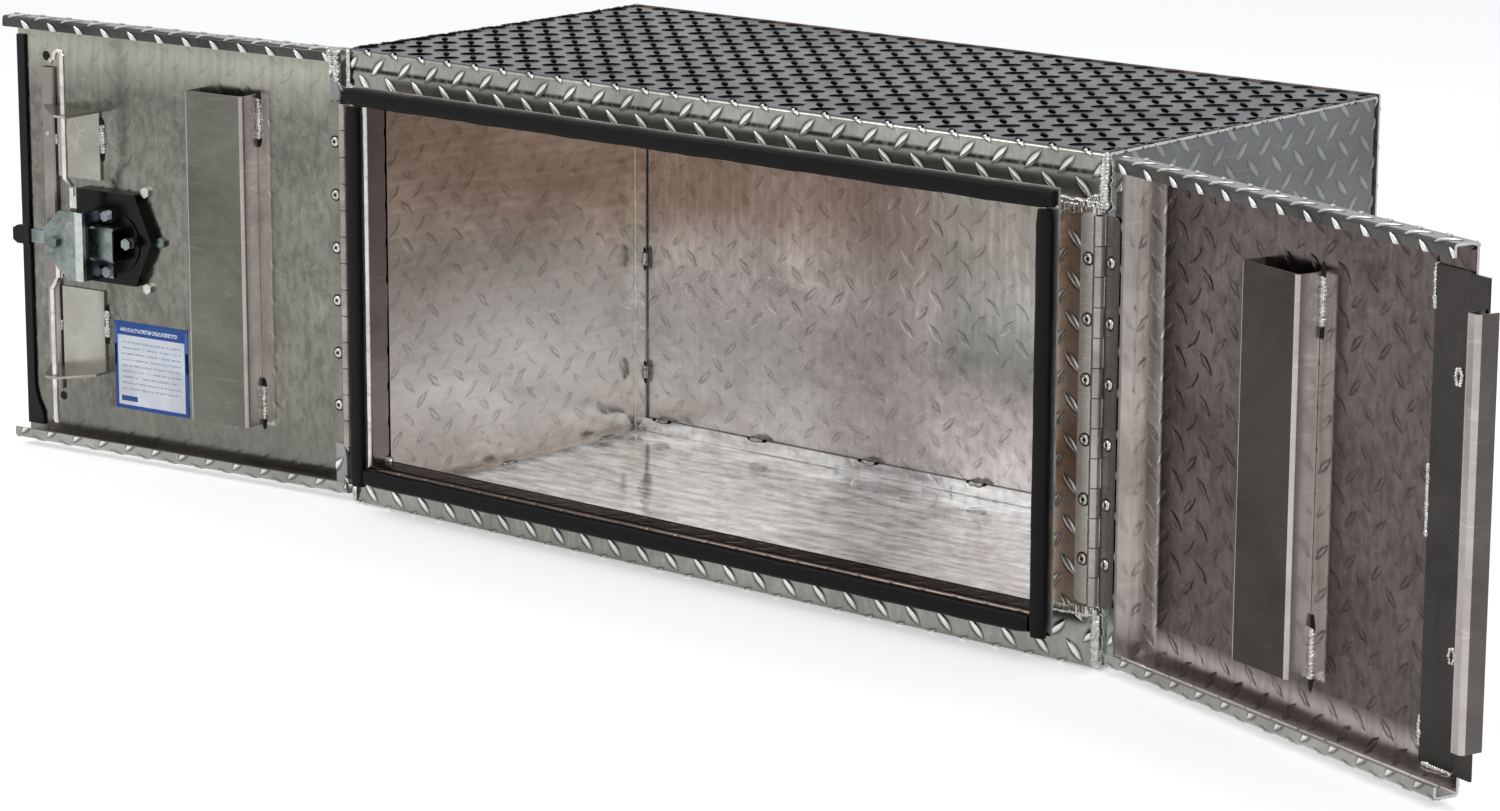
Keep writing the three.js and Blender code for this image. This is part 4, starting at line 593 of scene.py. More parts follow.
metal("lip_light", (168, 168, 162), (126, 126, 120), (0.18, 0.3), outline=0.9, shade_and_dirt_colour=(30, 30, 28))
print("outer finishes:", len(looks))

# %% [markdown]
# Inside, the sheet's plain back shows each lug as a smudge. The walls mirror each other many times,
# more often than a render can follow, so the floor and the foot of the back wall get a faint light
# of their own, and bands tint the walls where the photo shows a warm or a green reflection.

# %% Inner finishes
WHOLE = (-1, 1)
# All inner finishes are the plain back of the same sheet, painted far lighter than outside to stand in for
# the light that fills the box. flange_inside is a painted highlight on the inner faces of the doors' rims and
# hinge channels, lip_inner and lip_edge paint shade on the opening lip's bottom run, lip_left is a painted
# lilac reflection on its left run, and every band below is a painted reflection: warm tops, a green patch and
# near white light low on the walls.
metal("flange_inside", (222, 217, 214), (186, 180, 176), (0.2, 0.34), metallic=0.7)
metal("lip_inner", (98, 88, 83), (72, 64, 60), (0.16, 0.3), prints=0.5, print_colour=(58, 51, 47),
      edge_tint=0.6)
metal("lip_left", (180, 166, 170), (138, 124, 129), (0.16, 0.3))
metal("lip_edge", (88, 82, 78), (66, 61, 58), (0.3, 0.45), flat=False, edge_tint=0.5)
metal("cut_edge", (200, 200, 198), (160, 159, 156), (0.3, 0.45), flat=False)
metal("inside_wall", (236, 231, 226), (204, 198, 191), (0.16, 0.32), metallic=0.76, mottle=0.25,
      prints=0.5, print_colour=(136, 126, 118), print_depth=0.12)
metal("inside_left", (232, 226, 218), (198, 191, 182), (0.14, 0.3), metallic=0.76, mottle=0.25,
      prints=0.6, print_colour=(126, 116, 104), print_depth=0.12,
      painted_bands=[((0.23, 0.6), WHOLE, 0.05, (158, 130, 106), 0.62),
             ((0.05, 0.18), WHOLE, 0.04, (254, 253, 250), 0.9)])
metal("inside_back", (236, 228, 224), (196, 185, 182), (0.16, 0.32), metallic=0.76, mottle=0.3,
      prints=0.7, print_colour=(120, 107, 101), print_depth=0.1,
      glints=dict(strength=0.09, stretch=(1.0, 2.0, 1.0), scale=30.0,
                  between=(0.36, 0.66), fading=(0.1, 0.19)),
      painted_bands=[(WHOLE, (0.22, 0.6), 0.035, (150, 118, 96), 0.62),
             ((-0.05, 0.2), (0.12, 0.6), 0.02, (122, 132, 124), 0.6),
             ((-0.44, -0.2), (0.02, 0.13), 0.05, (252, 250, 248), 0.9)])
metal("inside_floor", (254, 253, 252), (232, 230, 227), (0.05, 0.16), metallic=0.7, mottle=0.35,
      waves=0.004, prints=0.3, print_colour=(96, 94, 91), print_depth=0.08,
      glints=dict(strength=0.26, stretch=(1.0, 4.0, 1.0), scale=20.0,
                  between=(0.38, 0.68), fading=(1.0, 2.0)))
print("metals:", sorted(looks))

# %% [markdown]
# A folded panel is one line, drawn along its outer face and bent at each fold, that runs the
# panel's length. Samples along the line keep the place, the outward direction and the distance
# from its start. The lugs use the same line, so a lug that crosses a fold bends with the sheet.

# %% Fold lines
BENDS = 5


def fold_line(points, bends=BENDS, radii=(5.5, 1.5)):
    """Samples (distance, place, outward) along an outer face, with the sheet on its left."""
    corners = [Vector(p) for p in points]
    samples = []
    walked = 0.0
    here = corners[0]

    def add(place, heading):
        nonlocal walked, here
        walked += (place - here).length
        here = place
        samples.append((walked, place, Vector((heading.y, -heading.x))))

    heading = (corners[1] - corners[0]).normalized()
    add(corners[0], heading)
    for i in range(1, len(corners) - 1):
        after = (corners[i + 1] - corners[i]).normalized()
        cross = heading.x * after.y - heading.y * after.x
        turn = math.atan2(cross, heading.dot(after))
        radius = (radii[0] if turn > 0 else radii[1]) * MM
        reach = radius * math.tan(abs(turn) / 2)
        start = corners[i] - heading * reach
        middle = start + Vector((-heading.y, heading.x)) * radius * (1 if turn > 0 else -1)
        for k in range(bends + 1):
            swing = Matrix.Rotation(turn * k / bends, 2)
            add(middle + swing @ (start - middle), swing @ heading)
        heading = after
    add(corners[-1], heading)
    return samples


def on_line(line, distance):
    """Place and outward direction at a distance along a fold line."""
    distance = min(max(distance, line[0][0]), line[-1][0])
    for (d0, p0, n0), (d1, p1, n1) in zip(line, line[1:]):
        if distance <= d1:
            share = (distance - d0) / max(d1 - d0, 1e-9)
            return p0.lerp(p1, share), n0.lerp(n1, share).normalized()
    return line[-1][1], line[-1][2]


print("a right angle has", len(fold_line([(0, 0), (1, 0), (1, 1)])), "samples")

# %% [markdown]
# The sheet itself is two skins, 2.5 mm apart, with closed ends. Each side has its own material
# slot, because the lugs are rolled into one side only and the other stays smooth.

# %% Folded sheet
SHARP_FROM = math.radians(42)


def sheet_map(bm):
    """The map that holds each corner's place on the flat sheet, in metres."""
    return bm.loops.layers.uv.get("sheet") or bm.loops.layers.uv.new("sheet")


def folded_sheet(bm, line, limits, place, base=LUG_RISE, extra=(), slots=(0, 1, 2)):
    """Adds a folded sheet to bm. limits(place, distance) gives its two ends there, and
    place(e, point) puts a length position and a profile point in space. slots names the
    finishes of the outer face, the inner face and the edges, or gives them by distance."""
    slots_at = slots if callable(slots) else (lambda distance: slots)
    uv = sheet_map(bm)
    stops = sorted([s[0] for s in line] + list(extra))
    rows = []
    for distance in stops:
        point, outward = on_line(line, distance)
        pair = []
        for depth in (base, base + SHEET):
            spot = point - outward * depth
            e0, e1 = limits(spot, distance)
            pair.append([(bm.verts.new(place(e, spot)), (e, distance)) for e in (e0, e1)])
        rows.append(pair)

    def face(corners, slot):
        try:
            made = bm.faces.new([c[0] for c in corners])
        except ValueError:
            return
        made.material_index = slot
        for loop, corner in zip(made.loops, corners):
            loop[uv].uv = corner[1]

    for a, b in zip(rows, rows[1:]):
        outer, inner, cut = slots_at((a[0][0][1][1] + b[0][0][1][1]) / 2)
        face([a[0][0], a[0][1], b[0][1], b[0][0]], outer)
        face([a[1][1], a[1][0], b[1][0], b[1][1]], inner)
        face([a[0][0], b[0][0], b[1][0], a[1][0]], cut)
        face([a[0][1], a[1][1], b[1][1], b[0][1]], cut)
    first, last = rows[0], rows[-1]
    face([first[0][0], first[1][0], first[1][1], first[0][1]], cut)
    face([last[0][0], last[0][1], last[1][1], last[1][0]], cut)


def finished(name, bm, slots, body, replaced=(), weighted=True, merge=1e-6):
    """Turns bm into an object with its finishes, shading and place in the model."""
    bmesh.ops.remove_doubles(bm, verts=bm.verts, dist=merge)
    bmesh.ops.recalc_face_normals(bm, faces=bm.faces)
    mesh = bpy.data.meshes.new(name)
    bm.to_mesh(mesh)
    bm.free()
    for look in slots:
        mesh.materials.append(looks[look])
    mesh.shade_smooth()
    mesh.set_sharp_from_angle(angle=SHARP_FROM)
    item = bpy.data.objects.new(name, mesh)
    bpy.context.collection.objects.link(item)
    if weighted:
        modifier = item.modifiers.new("even_normals", "WEIGHTED_NORMAL")
        modifier.keep_sharp = True
        modifier.weight = 80
    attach(item, body)
    if replaced:
        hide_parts(*replaced)
    return item


print("sheets are", SHEET, "m thick under lugs of", LUG_RISE, "m")

# %% [markdown]
# A lug is a low ridge with a pointed end each way. It could be a bump in the material, but real
# ones catch the lamps on one flank and go dark on the other, and they show against the edge. So
# each is a small mesh: seven stations of a lens, laid on the flat sheet first, cut at the edges
# of its panel, and then carried over the folds.

# %% One lug
LENS = ((-0.82, 0.62), (-0.45, 0.93), (0.0, 1.0), (0.45, 0.93), (0.82, 0.62))
ACROSS = ((-1.0, 0.0), (-0.66, 0.72), (0.0, 1.0), (0.66, 0.72), (1.0, 0.0))
ROOT = -0.15 * MM
CREST = LUG_RISE - 0.03 * MM


def one_lug(bm, e, t, sign):
    """A lug with its middle at (e, t) on the flat sheet, along one diagonal or the other."""
    along = Vector((1, sign)).normalized()
    side_way = Vector((-along.y, along.x))
    half_length, half_width = LUG_LENGTH / 2, LUG_WIDTH / 2
    rows = []
    for share, height in LENS:
        wide = half_width * (1 - share * share) ** 0.8
        row = []
        for across, level in ACROSS:
            spot = Vector((e, t)) + along * (half_length * share) + side_way * (wide * across)
            row.append(bm.verts.new((spot.x, spot.y, CREST * height * level if level else ROOT)))
        rows.append(row)
    tips = []
    for end in (-1, 1):
        spot = Vector((e, t)) + along * (half_length * end)
        tips.append(bm.verts.new((spot.x, spot.y, ROOT)))
    for a, b in zip(rows, rows[1:]):
        for k in range(4):
            bm.faces.new((a[k], b[k], b[k + 1], a[k + 1]))
    for k in range(4):
        bm.faces.new((tips[0], rows[0][k], rows[0][k + 1]))
        bm.faces.new((rows[-1][k], tips[1], rows[-1][k + 1]))
    rim = [tips[0]] + [r[0] for r in rows] + [tips[1]] + [r[-1] for r in reversed(rows)]
    bm.faces.new(list(reversed(rim)))


print("one lug is", LUG_LENGTH, "by", LUG_WIDTH, "m")

# %% [markdown]
# A patch of lugs covers a rectangle of the flat sheet. Whatever passes its edges is cut off. Round
# a hole, a lug that lies wholly inside goes, and one on the outline is cut along the side that most
# of it has passed.

# %% Patches of lugs
def lug_patch(e_range, t_range, hole=None):
    """Lugs on the flat sheet over a rectangle, cut at its edges and round a convex hole."""
    bm = bmesh.new()
    (e0, e1), (t0, t1) = sorted(e_range), sorted(t_range)
    reach = LUG_LENGTH / 2

    def counts(low, high):
        return range(math.floor((low - reach) / LUG_PITCH) - 1, math.ceil((high + reach) / LUG_PITCH) + 2)

    for half, sign in ((0.0, 1), (0.5, -1)):
        for i in counts(e0, e1):
            for j in counts(t0, t1):
                e, t = (i + half) * LUG_PITCH, (j + half) * LUG_PITCH
                if e0 - reach < e < e1 + reach and t0 - reach < t < t1 + reach:
                    one_lug(bm, e, t, sign)
    for spot, outward in (((e0, 0, 0), (-1, 0, 0)), ((e1, 0, 0), (1, 0, 0)),
                          ((0, t0, 0), (0, -1, 0)), ((0, t1, 0), (0, 1, 0))):
        cut_lugs(bm, list(bm.verts), spot, outward)
    if hole:
        clear_hole(bm, hole)
    return bm


def cut_lugs(bm, verts, spot, outward):
    """Cuts away what lies beyond a plane and closes the cut lugs."""
    members = set(verts)
    geometry = verts + [e for e in bm.edges if e.verts[0] in members and e.verts[1] in members]
    geometry += [f for f in bm.faces if all(v in members for v in f.verts)]
    done = bmesh.ops.bisect_plane(bm, geom=geometry, dist=1e-7, plane_co=spot, plane_no=outward,
                                  clear_outer=True)
    edges = [g for g in done["geom_cut"] if isinstance(g, bmesh.types.BMEdge)]
    if edges:
        bmesh.ops.edgenet_fill(bm, edges=edges)


def islands(bm):
    """The groups of joined points, one for each lug, in the order that they were made in."""
    met = set()
    for start in bm.verts:
        if start in met:
            continue
        met.add(start)
        group, queue = [], [start]
        while queue:
            v = queue.pop()
            group.append(v)
            for edge in v.link_edges:
                other = edge.other_vert(v)
                if other not in met:
                    met.add(other)
                    queue.append(other)
        yield group


def clear_hole(bm, hole):
    """Takes away what lies inside a convex outline given anticlockwise."""
    sides = []
    for a, b in zip(hole, hole[1:] + hole[:1]):
        heading = (Vector(b) - Vector(a)).normalized()
        sides.append((Vector(a), Vector((heading.y, -heading.x))))
    for group in list(islands(bm)):
        depth = [[(v.co.xy - a).dot(n) for v in group] for a, n in sides]
        if any(min(row) >= 0 for row in depth):
            continue
        if all(max(row) <= 0 for row in depth):
            bmesh.ops.delete(bm, geom=group, context="VERTS")
            continue
        best = max(range(len(sides)), key=lambda k: sum(depth[k]))
        spot, outward = sides[best]
        cut_lugs(bm, group, (spot.x, spot.y, 0), (-outward.x, -outward.y, 0))


def lay_lugs(bm, patch, line, place, slot=3, slot_at=None):
    """Carries flat lugs over a fold line and adds them to bm."""
    uv = sheet_map(bm)
    carried = {}
    for v in patch.verts:
        point, outward = on_line(line, v.co.y)
        spot = point - outward * (LUG_RISE - v.co.z)
        carried[v] = bm.verts.new(place(v.co.x, spot))
    for f in patch.faces:
        made = bm.faces.new([carried[v] for v in f.verts])
        made.material_index = slot_at(f.calc_center_median()) if slot_at else slot
        for loop, v in zip(made.loops, f.verts):
            loop[uv].uv = v.co.xy
    patch.free()


print("a crest stands", CREST, "m above the sheet")

# %% [markdown]
# The roof and the floor are each one sheet: the rear flange, the wide panel and the front band
# over the opening. They run the full width, and the sides' bands butt against them.

# %% Roof and floor
def straight(e0, e1):
    return lambda spot, distance: (e0, e1)


def along_x(e, p):
    """Puts a profile point (y, z) at a place along the box's width."""
    return Vector((e, p.x, p.y))


def build_level(name, up_sign, slots, node, painted_bands=()):
    at = lambda z: HEIGHT / 2 + up_sign * (z - HEIGHT / 2)
    shell = [(SHELL_BACK, at(HEIGHT - REAR_FLANGE)), (SHELL_BACK, at(HEIGHT)),
             (FRONT, at(HEIGHT)), (FRONT, at(OPEN_TOP))]
    line = fold_line(shell[::up_sign])
    length = line[-1][0]

    def limits(spot, distance):
        inner = abs(spot.y - at(HEIGHT)) > PAST_BEND and spot.x > 0
        half = HALF_WIDTH - 4.4 * MM if inner else HALF_WIDTH
        return (-half, half)

    def on_band(distance):
        return distance > length - FRAME_BAND if up_sign > 0 else distance < FRAME_BAND

    bm = bmesh.new()
    folded_sheet(bm, line, limits, along_x)
    t_range = (REAR_FLANGE, length) if up_sign > 0 else (0, length - REAR_FLANGE)
    patch = lug_patch((-HALF_WIDTH, HALF_WIDTH), t_range)
    lay_lugs(bm, patch, line, along_x, slot_at=lambda v: 5 if on_band(v.y) else 3)
    uv = sheet_map(bm)
    for face in bm.faces:
        along = sum(loop[uv].uv.y for loop in face.loops) / len(face.loops)
        if face.material_index == 0 and on_band(along):
            face.material_index = 4
    # The rail is the same tread painted a little lighter. On the roof, its near black band above the seal is
    # a painted reflection of the seal, and the greyer band below it is painted reflection too.
    rail = name + "_rail"
    metal(rail, (160, 162, 154), (126, 128, 119), (0.18, 0.3), mottle=0.2, outline=0.95, shade_and_dirt_colour=FOOT_SHADE_AND_DIRT,
          painted_bands=[(WHOLE, (length - low * MM, length - high * MM), soft, tone, amount)
                 for low, high, soft, tone, amount in painted_bands])
    return finished(name, bm, slots + [rail, "lug_bright"], "box", [node])


roof = build_level("roof_sheet", 1, ["tread_roof", "inside_wall", "cut_edge", "lug_roof"], "roof_panel",
                   [(33, 28.5, 0.0012, (20, 20, 21), 0.95), (28.5, 0, 0.001, (128, 130, 128), 0.5)])
base = build_level("floor_sheet", -1, ["tread_bright", "inside_floor", "cut_edge", "lug_bright"],
                   "floor_panel")
print("roof faces:", len(roof.data.polygons), "floor faces:", len(base.data.polygons))

# %% [markdown]
# Each side is one sheet too: the band beside the opening, the side itself and a rear flange. A
# narrow foot flange stands on the floor inside, where the tack welds hold it.

# %% Sides and back
def along_z(e, p):
    """Puts a profile point (x, y) at a height."""
    return Vector((p.x, p.y, e))


def build_side(name, side, slots, node):
    """The line runs one way round on the right and the other way on the left, so that the
    outside stays outside."""
    outer, edge, rear = side * HALF_WIDTH, side * OPEN_HALF, side * (HALF_WIDTH - REAR_FLANGE)
    shell = [(edge, FRONT), (outer, FRONT), (outer, SHELL_BACK), (rear, SHELL_BACK)]
    line = fold_line(shell[::side])
    length = line[-1][0]
    band_end = FRONT + 5.9 * MM
    gap = 0.3 * MM
    foot, top = TREAD_CLEAR, HEIGHT - TREAD_CLEAR
    band_rows = (OPEN_FOOT + gap, OPEN_TOP - gap)

    def limits(spot, distance):
        if spot.y < band_end:
            return band_rows
        if abs(spot.x) < HALF_WIDTH - PAST_BEND:
            return (REAR_FLANGE + gap, HEIGHT - REAR_FLANGE - gap)
        return (foot, top)

    def from_opening(distance):
        return distance if side > 0 else length - distance

    step = from_opening(line[BENDS + 1 if side > 0 else -2 - BENDS][0]) + gap
    bm = bmesh.new()
    folded_sheet(bm, line, limits, along_z, extra=(from_opening(step), from_opening(step + 0.15 * MM)),
                 slots=lambda distance: (4 if from_opening(distance) < step else 0, 1, 2))
    near = (from_opening(0), from_opening(step))
    far = (from_opening(step + 0.2 * MM), from_opening(length - REAR_FLANGE))
    lay_lugs(bm, lug_patch(band_rows, near), line, along_z, slot=5)
    lay_lugs(bm, lug_patch((foot, top), far), line, along_z)
    flange = [(side * (HALF_WIDTH - 4.2 * MM), foot), (rear, foot)]
    folded_sheet(bm, fold_line(flange[::side]), straight(band_end, SHELL_BACK - 6 * MM),
                 lambda e, p: Vector((p.x, e, p.y)), base=-2.6 * MM, slots=(1, 1, 2))
    return finished(name, bm, slots, "box", [node])


# The band beside the opening takes the brown finish, a painted reflection, with lugs painted bright.
def side_slots(inner):
    return ["tread_side", inner, "cut_edge", "lug_side", "tread_brown", "lug_bright"]


left_side = build_side("left_side_sheet", LEFT, side_slots("inside_left"), "left_side_panel")
right_side = build_side("right_side_sheet", RIGHT, side_slots("inside_wall"), "right_side_panel")
print("side faces:", len(left_side.data.polygons), len(right_side.data.polygons))

line = fold_line([(BACK, 0), (BACK, HEIGHT)])
bm = bmesh.new()
folded_sheet(bm, line, straight(-HALF_WIDTH, HALF_WIDTH), along_x)
lay_lugs(bm, lug_patch((-HALF_WIDTH, HALF_WIDTH), (0, HEIGHT)), line, along_x)
back_sheet = finished("back_sheet", bm, ["tread_back", "inside_back", "cut_edge", "lug_back"],
                      "box", ["back_panel"])
print("back faces:", len(back_sheet.data.polygons))

# %% [markdown]
# Round the opening a narrow lip stands forward and turns outward, with its corners mitred. It
# carries the sponge seal, and its plain inner face is what one sees inside the seal.

# %% Opening lip
MITRE = 0.15 * MM
bm = bmesh.new()
for up_sign in (1, -1):
    at = lambda z: HEIGHT / 2 + up_sign * (z - HEIGHT / 2)
    path = [(FRONT + TREAD, at(OPEN_TOP)), (RETURN_PLANE, at(OPEN_TOP)),
            (RETURN_PLANE, at(OPEN_TOP + RETURN_BAND))]

    def half_at(spot, distance):
        half = OPEN_HALF - MITRE + max(0.0, up_sign * (spot.y - at(OPEN_TOP)))
        return (-half, half)

    folded_sheet(bm, fold_line(path[::-up_sign]), half_at, along_x, base=0.0)
for side in (LEFT, RIGHT):
    path = [(side * OPEN_HALF, FRONT + TREAD), (side * OPEN_HALF, RETURN_PLANE),
            (side * (OPEN_HALF + RETURN_BAND), RETURN_PLANE)]

    def ends(spot, distance):
        grow = max(0.0, abs(spot.x) - OPEN_HALF)
        return (OPEN_FOOT + MITRE - grow, OPEN_TOP - MITRE + grow)

    folded_sheet(bm, fold_line(path[::side]), ends, along_z, base=0.0)
# The bottom run takes darker finishes, painted shade, and the left run a lilac one, a painted reflection.
for face in bm.faces:
    middle = face.calc_center_median()
    if middle.z < OPEN_FOOT + 0.5 * MM:
        face.material_index += 3
    elif abs(middle.x + OPEN_HALF) < 0.5 * MM:
        face.material_index = 6
lip_slots = ["inside_wall", "inside_wall", "cut_edge", "lip_inner", "lip_inner", "lip_edge", "lip_left"]
lip = finished("opening_lip", bm, lip_slots, "box", ())
print("lip faces:", len(lip.data.polygons))

# %% [markdown]
# A door is a shallow pan. Its skin folds back at top and bottom into a rim and a lip, and a
# separate channel closes the hinge edge. It is built shut, in the frame's own directions, and then
# turned about its hinge. First come its fold line and the finish of each skin's inner face, with
# bands of painted reflection, highlight and shade that are laid out by their distances and heights
# on the bench.

# %% Door line and skin finishes
TRAY_OUTLINE = ((272.0, 231.5), (294.0, 184.0), (371.0, 184.0), (371.0, 279.0), (294.0, 279.0))
DOOR_BEND = 5.5 * MM
RIM = 12.7 * MM
DOOR_LINE = fold_line([(LIPS, DOOR_TOP - RIM), (LIPS, DOOR_TOP), (DOOR_OUTER, DOOR_TOP),
                       (DOOR_OUTER, DOOR_FOOT), (LIPS, DOOR_FOOT), (LIPS, DOOR_FOOT + RIM)])
SKIN_FROM = 2 * (BENDS + 1)
SKIN_START, SKIN_END = DOOR_LINE[SKIN_FROM][0], DOOR_LINE[SKIN_FROM + 1][0]


def skin_down(z):
    """How far down the flat skin's map a height in millimetres lies."""
    return SKIN_START + DOOR_TOP - DOOR_BEND - z * MM


def columns(side, s0, s1):
    return (bench_x(side, s0), bench_x(side, s1))


def rows(z0, z1):
    return (skin_down(z0), skin_down(z1))


# The two skins are one plain sheet, painted lighter on the left door and darker and browner on the right. On
# the left, bright bands beside the stiffener and by the free edge are painted reflection and highlight, an
# orange-brown patch under the tray is a painted reflection, the hinge side and the top are painted lighter
# and the foot darker.
metal("left_skin", (130, 129, 121), (107, 106, 99), (0.16, 0.3), mottle=0.45,
      prints=0.28, print_colour=(90, 90, 82), print_depth=0.12,
      painted_bands=[(columns(LEFT, 121.5, 138), rows(397, 59), 0.0012, (190, 184, 179), 0.95),
             (columns(LEFT, 441, 427), rows(404, 60), 0.0012, (196, 188, 182), 0.8),
             (columns(LEFT, 399, 370), rows(184, 150), 0.006, (150, 96, 62), 0.45),
             (columns(LEFT, 121, 30), WHOLE, 0.02, (158, 154, 145), 0.5),
             (WHOLE, rows(448, 400), 0.02, (188, 187, 174), 0.6),
             (WHOLE, (skin_down(60), WHOLE[1]), 0.02, (116, 115, 108), 0.55)])
# On the right, a bright strip by the hinge with a dark line beside it, a bright band beside the stiffener
# with a dark one next to it, and a lighter foot are painted reflection and shade.
metal("right_skin", (100, 90, 88), (74, 66, 65), (0.16, 0.32), mottle=0.45,
      prints=0.9, print_colour=(38, 33, 33),
      painted_bands=[(columns(RIGHT, 55.5, 0), WHOLE, 0.0015, (212, 205, 200), 0.97),
             (columns(RIGHT, 60, 55.5), WHOLE, 0.0015, (40, 38, 42), 0.6),
             (columns(RIGHT, 286.5, 262), rows(397, 59), 0.0012, (184, 176, 172), 0.95),
             (WHOLE, (skin_down(44), WHOLE[1]), 0.007, (176, 168, 166), 0.8),
             (columns(RIGHT, 300, 286.5), rows(397, 59), 0.003, (58, 52, 50), 0.5)])
print("the skin is", round(SKIN_END - SKIN_START, 4), "m high between its bends")

# %% [markdown]
# The left skin has a five-sided hole for the latch's tray. A skin with a hole can't be swept along
# its fold line. Its flat part is filled between two outlines instead, once for each face, and the
# rims above and below it are swept as before.

# %% Door pans
def skin_with_hole(bm, side, columns_used, outline, place):
    """The skin's flat part, outside and inside, round the outline of a hole."""
    uv = sheet_map(bm)
    low, high = columns_used
    corners = [(low, SKIN_START), (high, SKIN_START), (high, SKIN_END), (low, SKIN_END)]
    for depth, slot in ((LUG_RISE, 0), (LUG_RISE + SHEET, 1)):
        edges = []
        for ring in (corners, outline):
            verts = []
            for e, t in ring:
                point, outward = on_line(DOOR_LINE, t)
                verts.append(bm.verts.new(place(e, point - outward * depth)))
            edges += [bm.edges.new((a, b)) for a, b in zip(verts, verts[1:] + verts[:1])]
        filled = bmesh.ops.triangle_fill(bm, edges=edges, use_beauty=True)
        for face in filled["geom"]:
            if isinstance(face, bmesh.types.BMFace):
                face.material_index = slot
                for loop in face.loops:
                    flat = opened[side].inverted() @ loop.vert.co
                    loop[uv].uv = (flat.x, skin_down(flat.z / MM))


def hinge_web(bm, side):
    """The separate channel that closes the pan's hinge edge."""
    hinge_x = side * DOOR_HINGE_X
    edge = [(hinge_x - side * 14 * MM, LIPS), (hinge_x, LIPS), (hinge_x, DOOR_OUTER + TREAD)]
    in_rim = (DOOR_FOOT + RIM + 0.1 * MM, DOOR_TOP - RIM - 0.1 * MM)
    full = (DOOR_FOOT + TREAD + 0.1 * MM, DOOR_TOP - TREAD - 0.1 * MM)
    place = lambda e, p: opened[side] @ Vector((p.x, p.y, e))
    upright = fold_line(edge[::-side])
    folded_sheet(bm, upright, lambda spot, distance: in_rim if spot.y > LIPS - PAST_BEND else full, place,
                 slots=(0, 6, 2))
    lay_lugs(bm, lug_patch(in_rim, (0, upright[-1][0])), upright, place)


def build_door(name, side, skin, body, node, hole=None):
    e0, e1 = sorted((side * DOOR_FREE_X, side * (DOOR_HINGE_X - 1.5 * MM)))
    place = lambda e, p: opened[side] @ Vector((e, p.x, p.y))

    def rim_slots(distance):
        if SKIN_START < distance < SKIN_END:
            return (0, 1, 2)
        return (4 if distance < SKIN_START else 5, 6, 2)

    bm = bmesh.new()
    on_skin = None
    if hole:
        on_skin = [(bench_x(side, s), skin_down(z)) for s, z in hole]
        for part in (DOOR_LINE[:SKIN_FROM + 1], DOOR_LINE[SKIN_FROM + 1:]):
            folded_sheet(bm, part, straight(e0, e1), place, slots=rim_slots)
        skin_with_hole(bm, side, (e0, e1), on_skin, place)
        middle = sum((Vector(p) for p in on_skin), Vector((0, 0))) / len(on_skin)
        on_skin = sorted(on_skin, key=lambda p: math.atan2(p[1] - middle.y, p[0] - middle.x))
    else:
        folded_sheet(bm, DOOR_LINE, straight(e0, e1), place, slots=rim_slots)
    lay_lugs(bm, lug_patch((e0, e1), (0, DOOR_LINE[-1][0]), on_skin), DOOR_LINE, place)
    hinge_web(bm, side)
    # The top rims are painted dark and the bottom rims light, and the inner faces of rims and hinge channel
    # take a lighter finish, a painted highlight.
    slots = ["tread_bright", skin, "cut_edge", "lug_bright", "lip_dark", "lip_light", "flange_inside"]
    return finished(name, bm, slots, body, [node])


left_pan = build_door("left_door_sheet", LEFT, "left_skin", "left_door", "left_door_pan", TRAY_OUTLINE)
right_pan = build_door("right_door_sheet", RIGHT, "right_skin", "right_door", "right_door_pan")
print("left door:", len(left_pan.data.polygons), "faces; right door:", len(right_pan.data.polygons), "faces")

# %% [markdown]
# The black parts are sponge, rubber and powder coat. One recipe makes them all from the same
# groups: a dark colour, a little wear and fine pores. Soot uses it too, and so do the hinge pins,
# painted near black so that the gaps between the knuckles show as painted shade.

# %% Sponge, rubber and powder coat
def soft_black(name, base, worn, rough, pore_scale, pore_depth, shine=0.2):
    """Makes a black that scatters light; pore_depth is in millimetres."""
    tree, shader = new_look(name)
    base, worn = colour(*base), colour(*worn)
    place = object_place(tree)
    cloud = group_node(tree, stains, Vector=place, Scale=14.0, Share=0.4)
    pores = noise(tree, place, pore_scale, 3.0, 0.7)
    shade = mix_colour(tree, cloud, base, worn)
    shade = mix_colour(tree, spread(tree, pores, 0.55, 0.75, 0.0, 0.5), shade, toned(worn, 1.8))
    tree.links.new(shade, shader.inputs["Base Color"])
    tree.links.new(spread(tree, cloud, 0.0, 1.0, *rough), shader.inputs["Roughness"])
    shader.inputs["Specular IOR Level"].default_value = shine
    set_bump(tree, shader, times(tree, pores, pore_depth * MM))


soft_black("sponge", (9, 9, 10), (16, 16, 17), (0.42, 0.58), 1400.0, 0.12, shine=0.12)
soft_black("edge_rubber", (14, 14, 15), (22, 22, 23), (0.4, 0.55), 900.0, 0.06)
soft_black("powder_black", (7, 7, 9), (13, 13, 15), (0.16, 0.3), 1100.0, 0.05, shine=0.16)
soft_black("soot", (20, 18, 16), (44, 38, 33), (0.6, 0.85), 700.0, 0.04)
soft_black("gap_black", (8, 8, 8), (12, 12, 12), (0.7, 0.8), 400.0, 0.02)
print("finishes so far:", len(looks))

# %% [markdown]
# The rest of the metals. Plain sheet has no lugs. The stiffeners' webs are one sheet painted
# lighter on the left door and darker on the right, their legs and all fold lines are painted
# lighter as highlights, and the strike's web is painted bright over darker legs. Zinc is a little
# blue, and weld metal is bright with darker valleys.

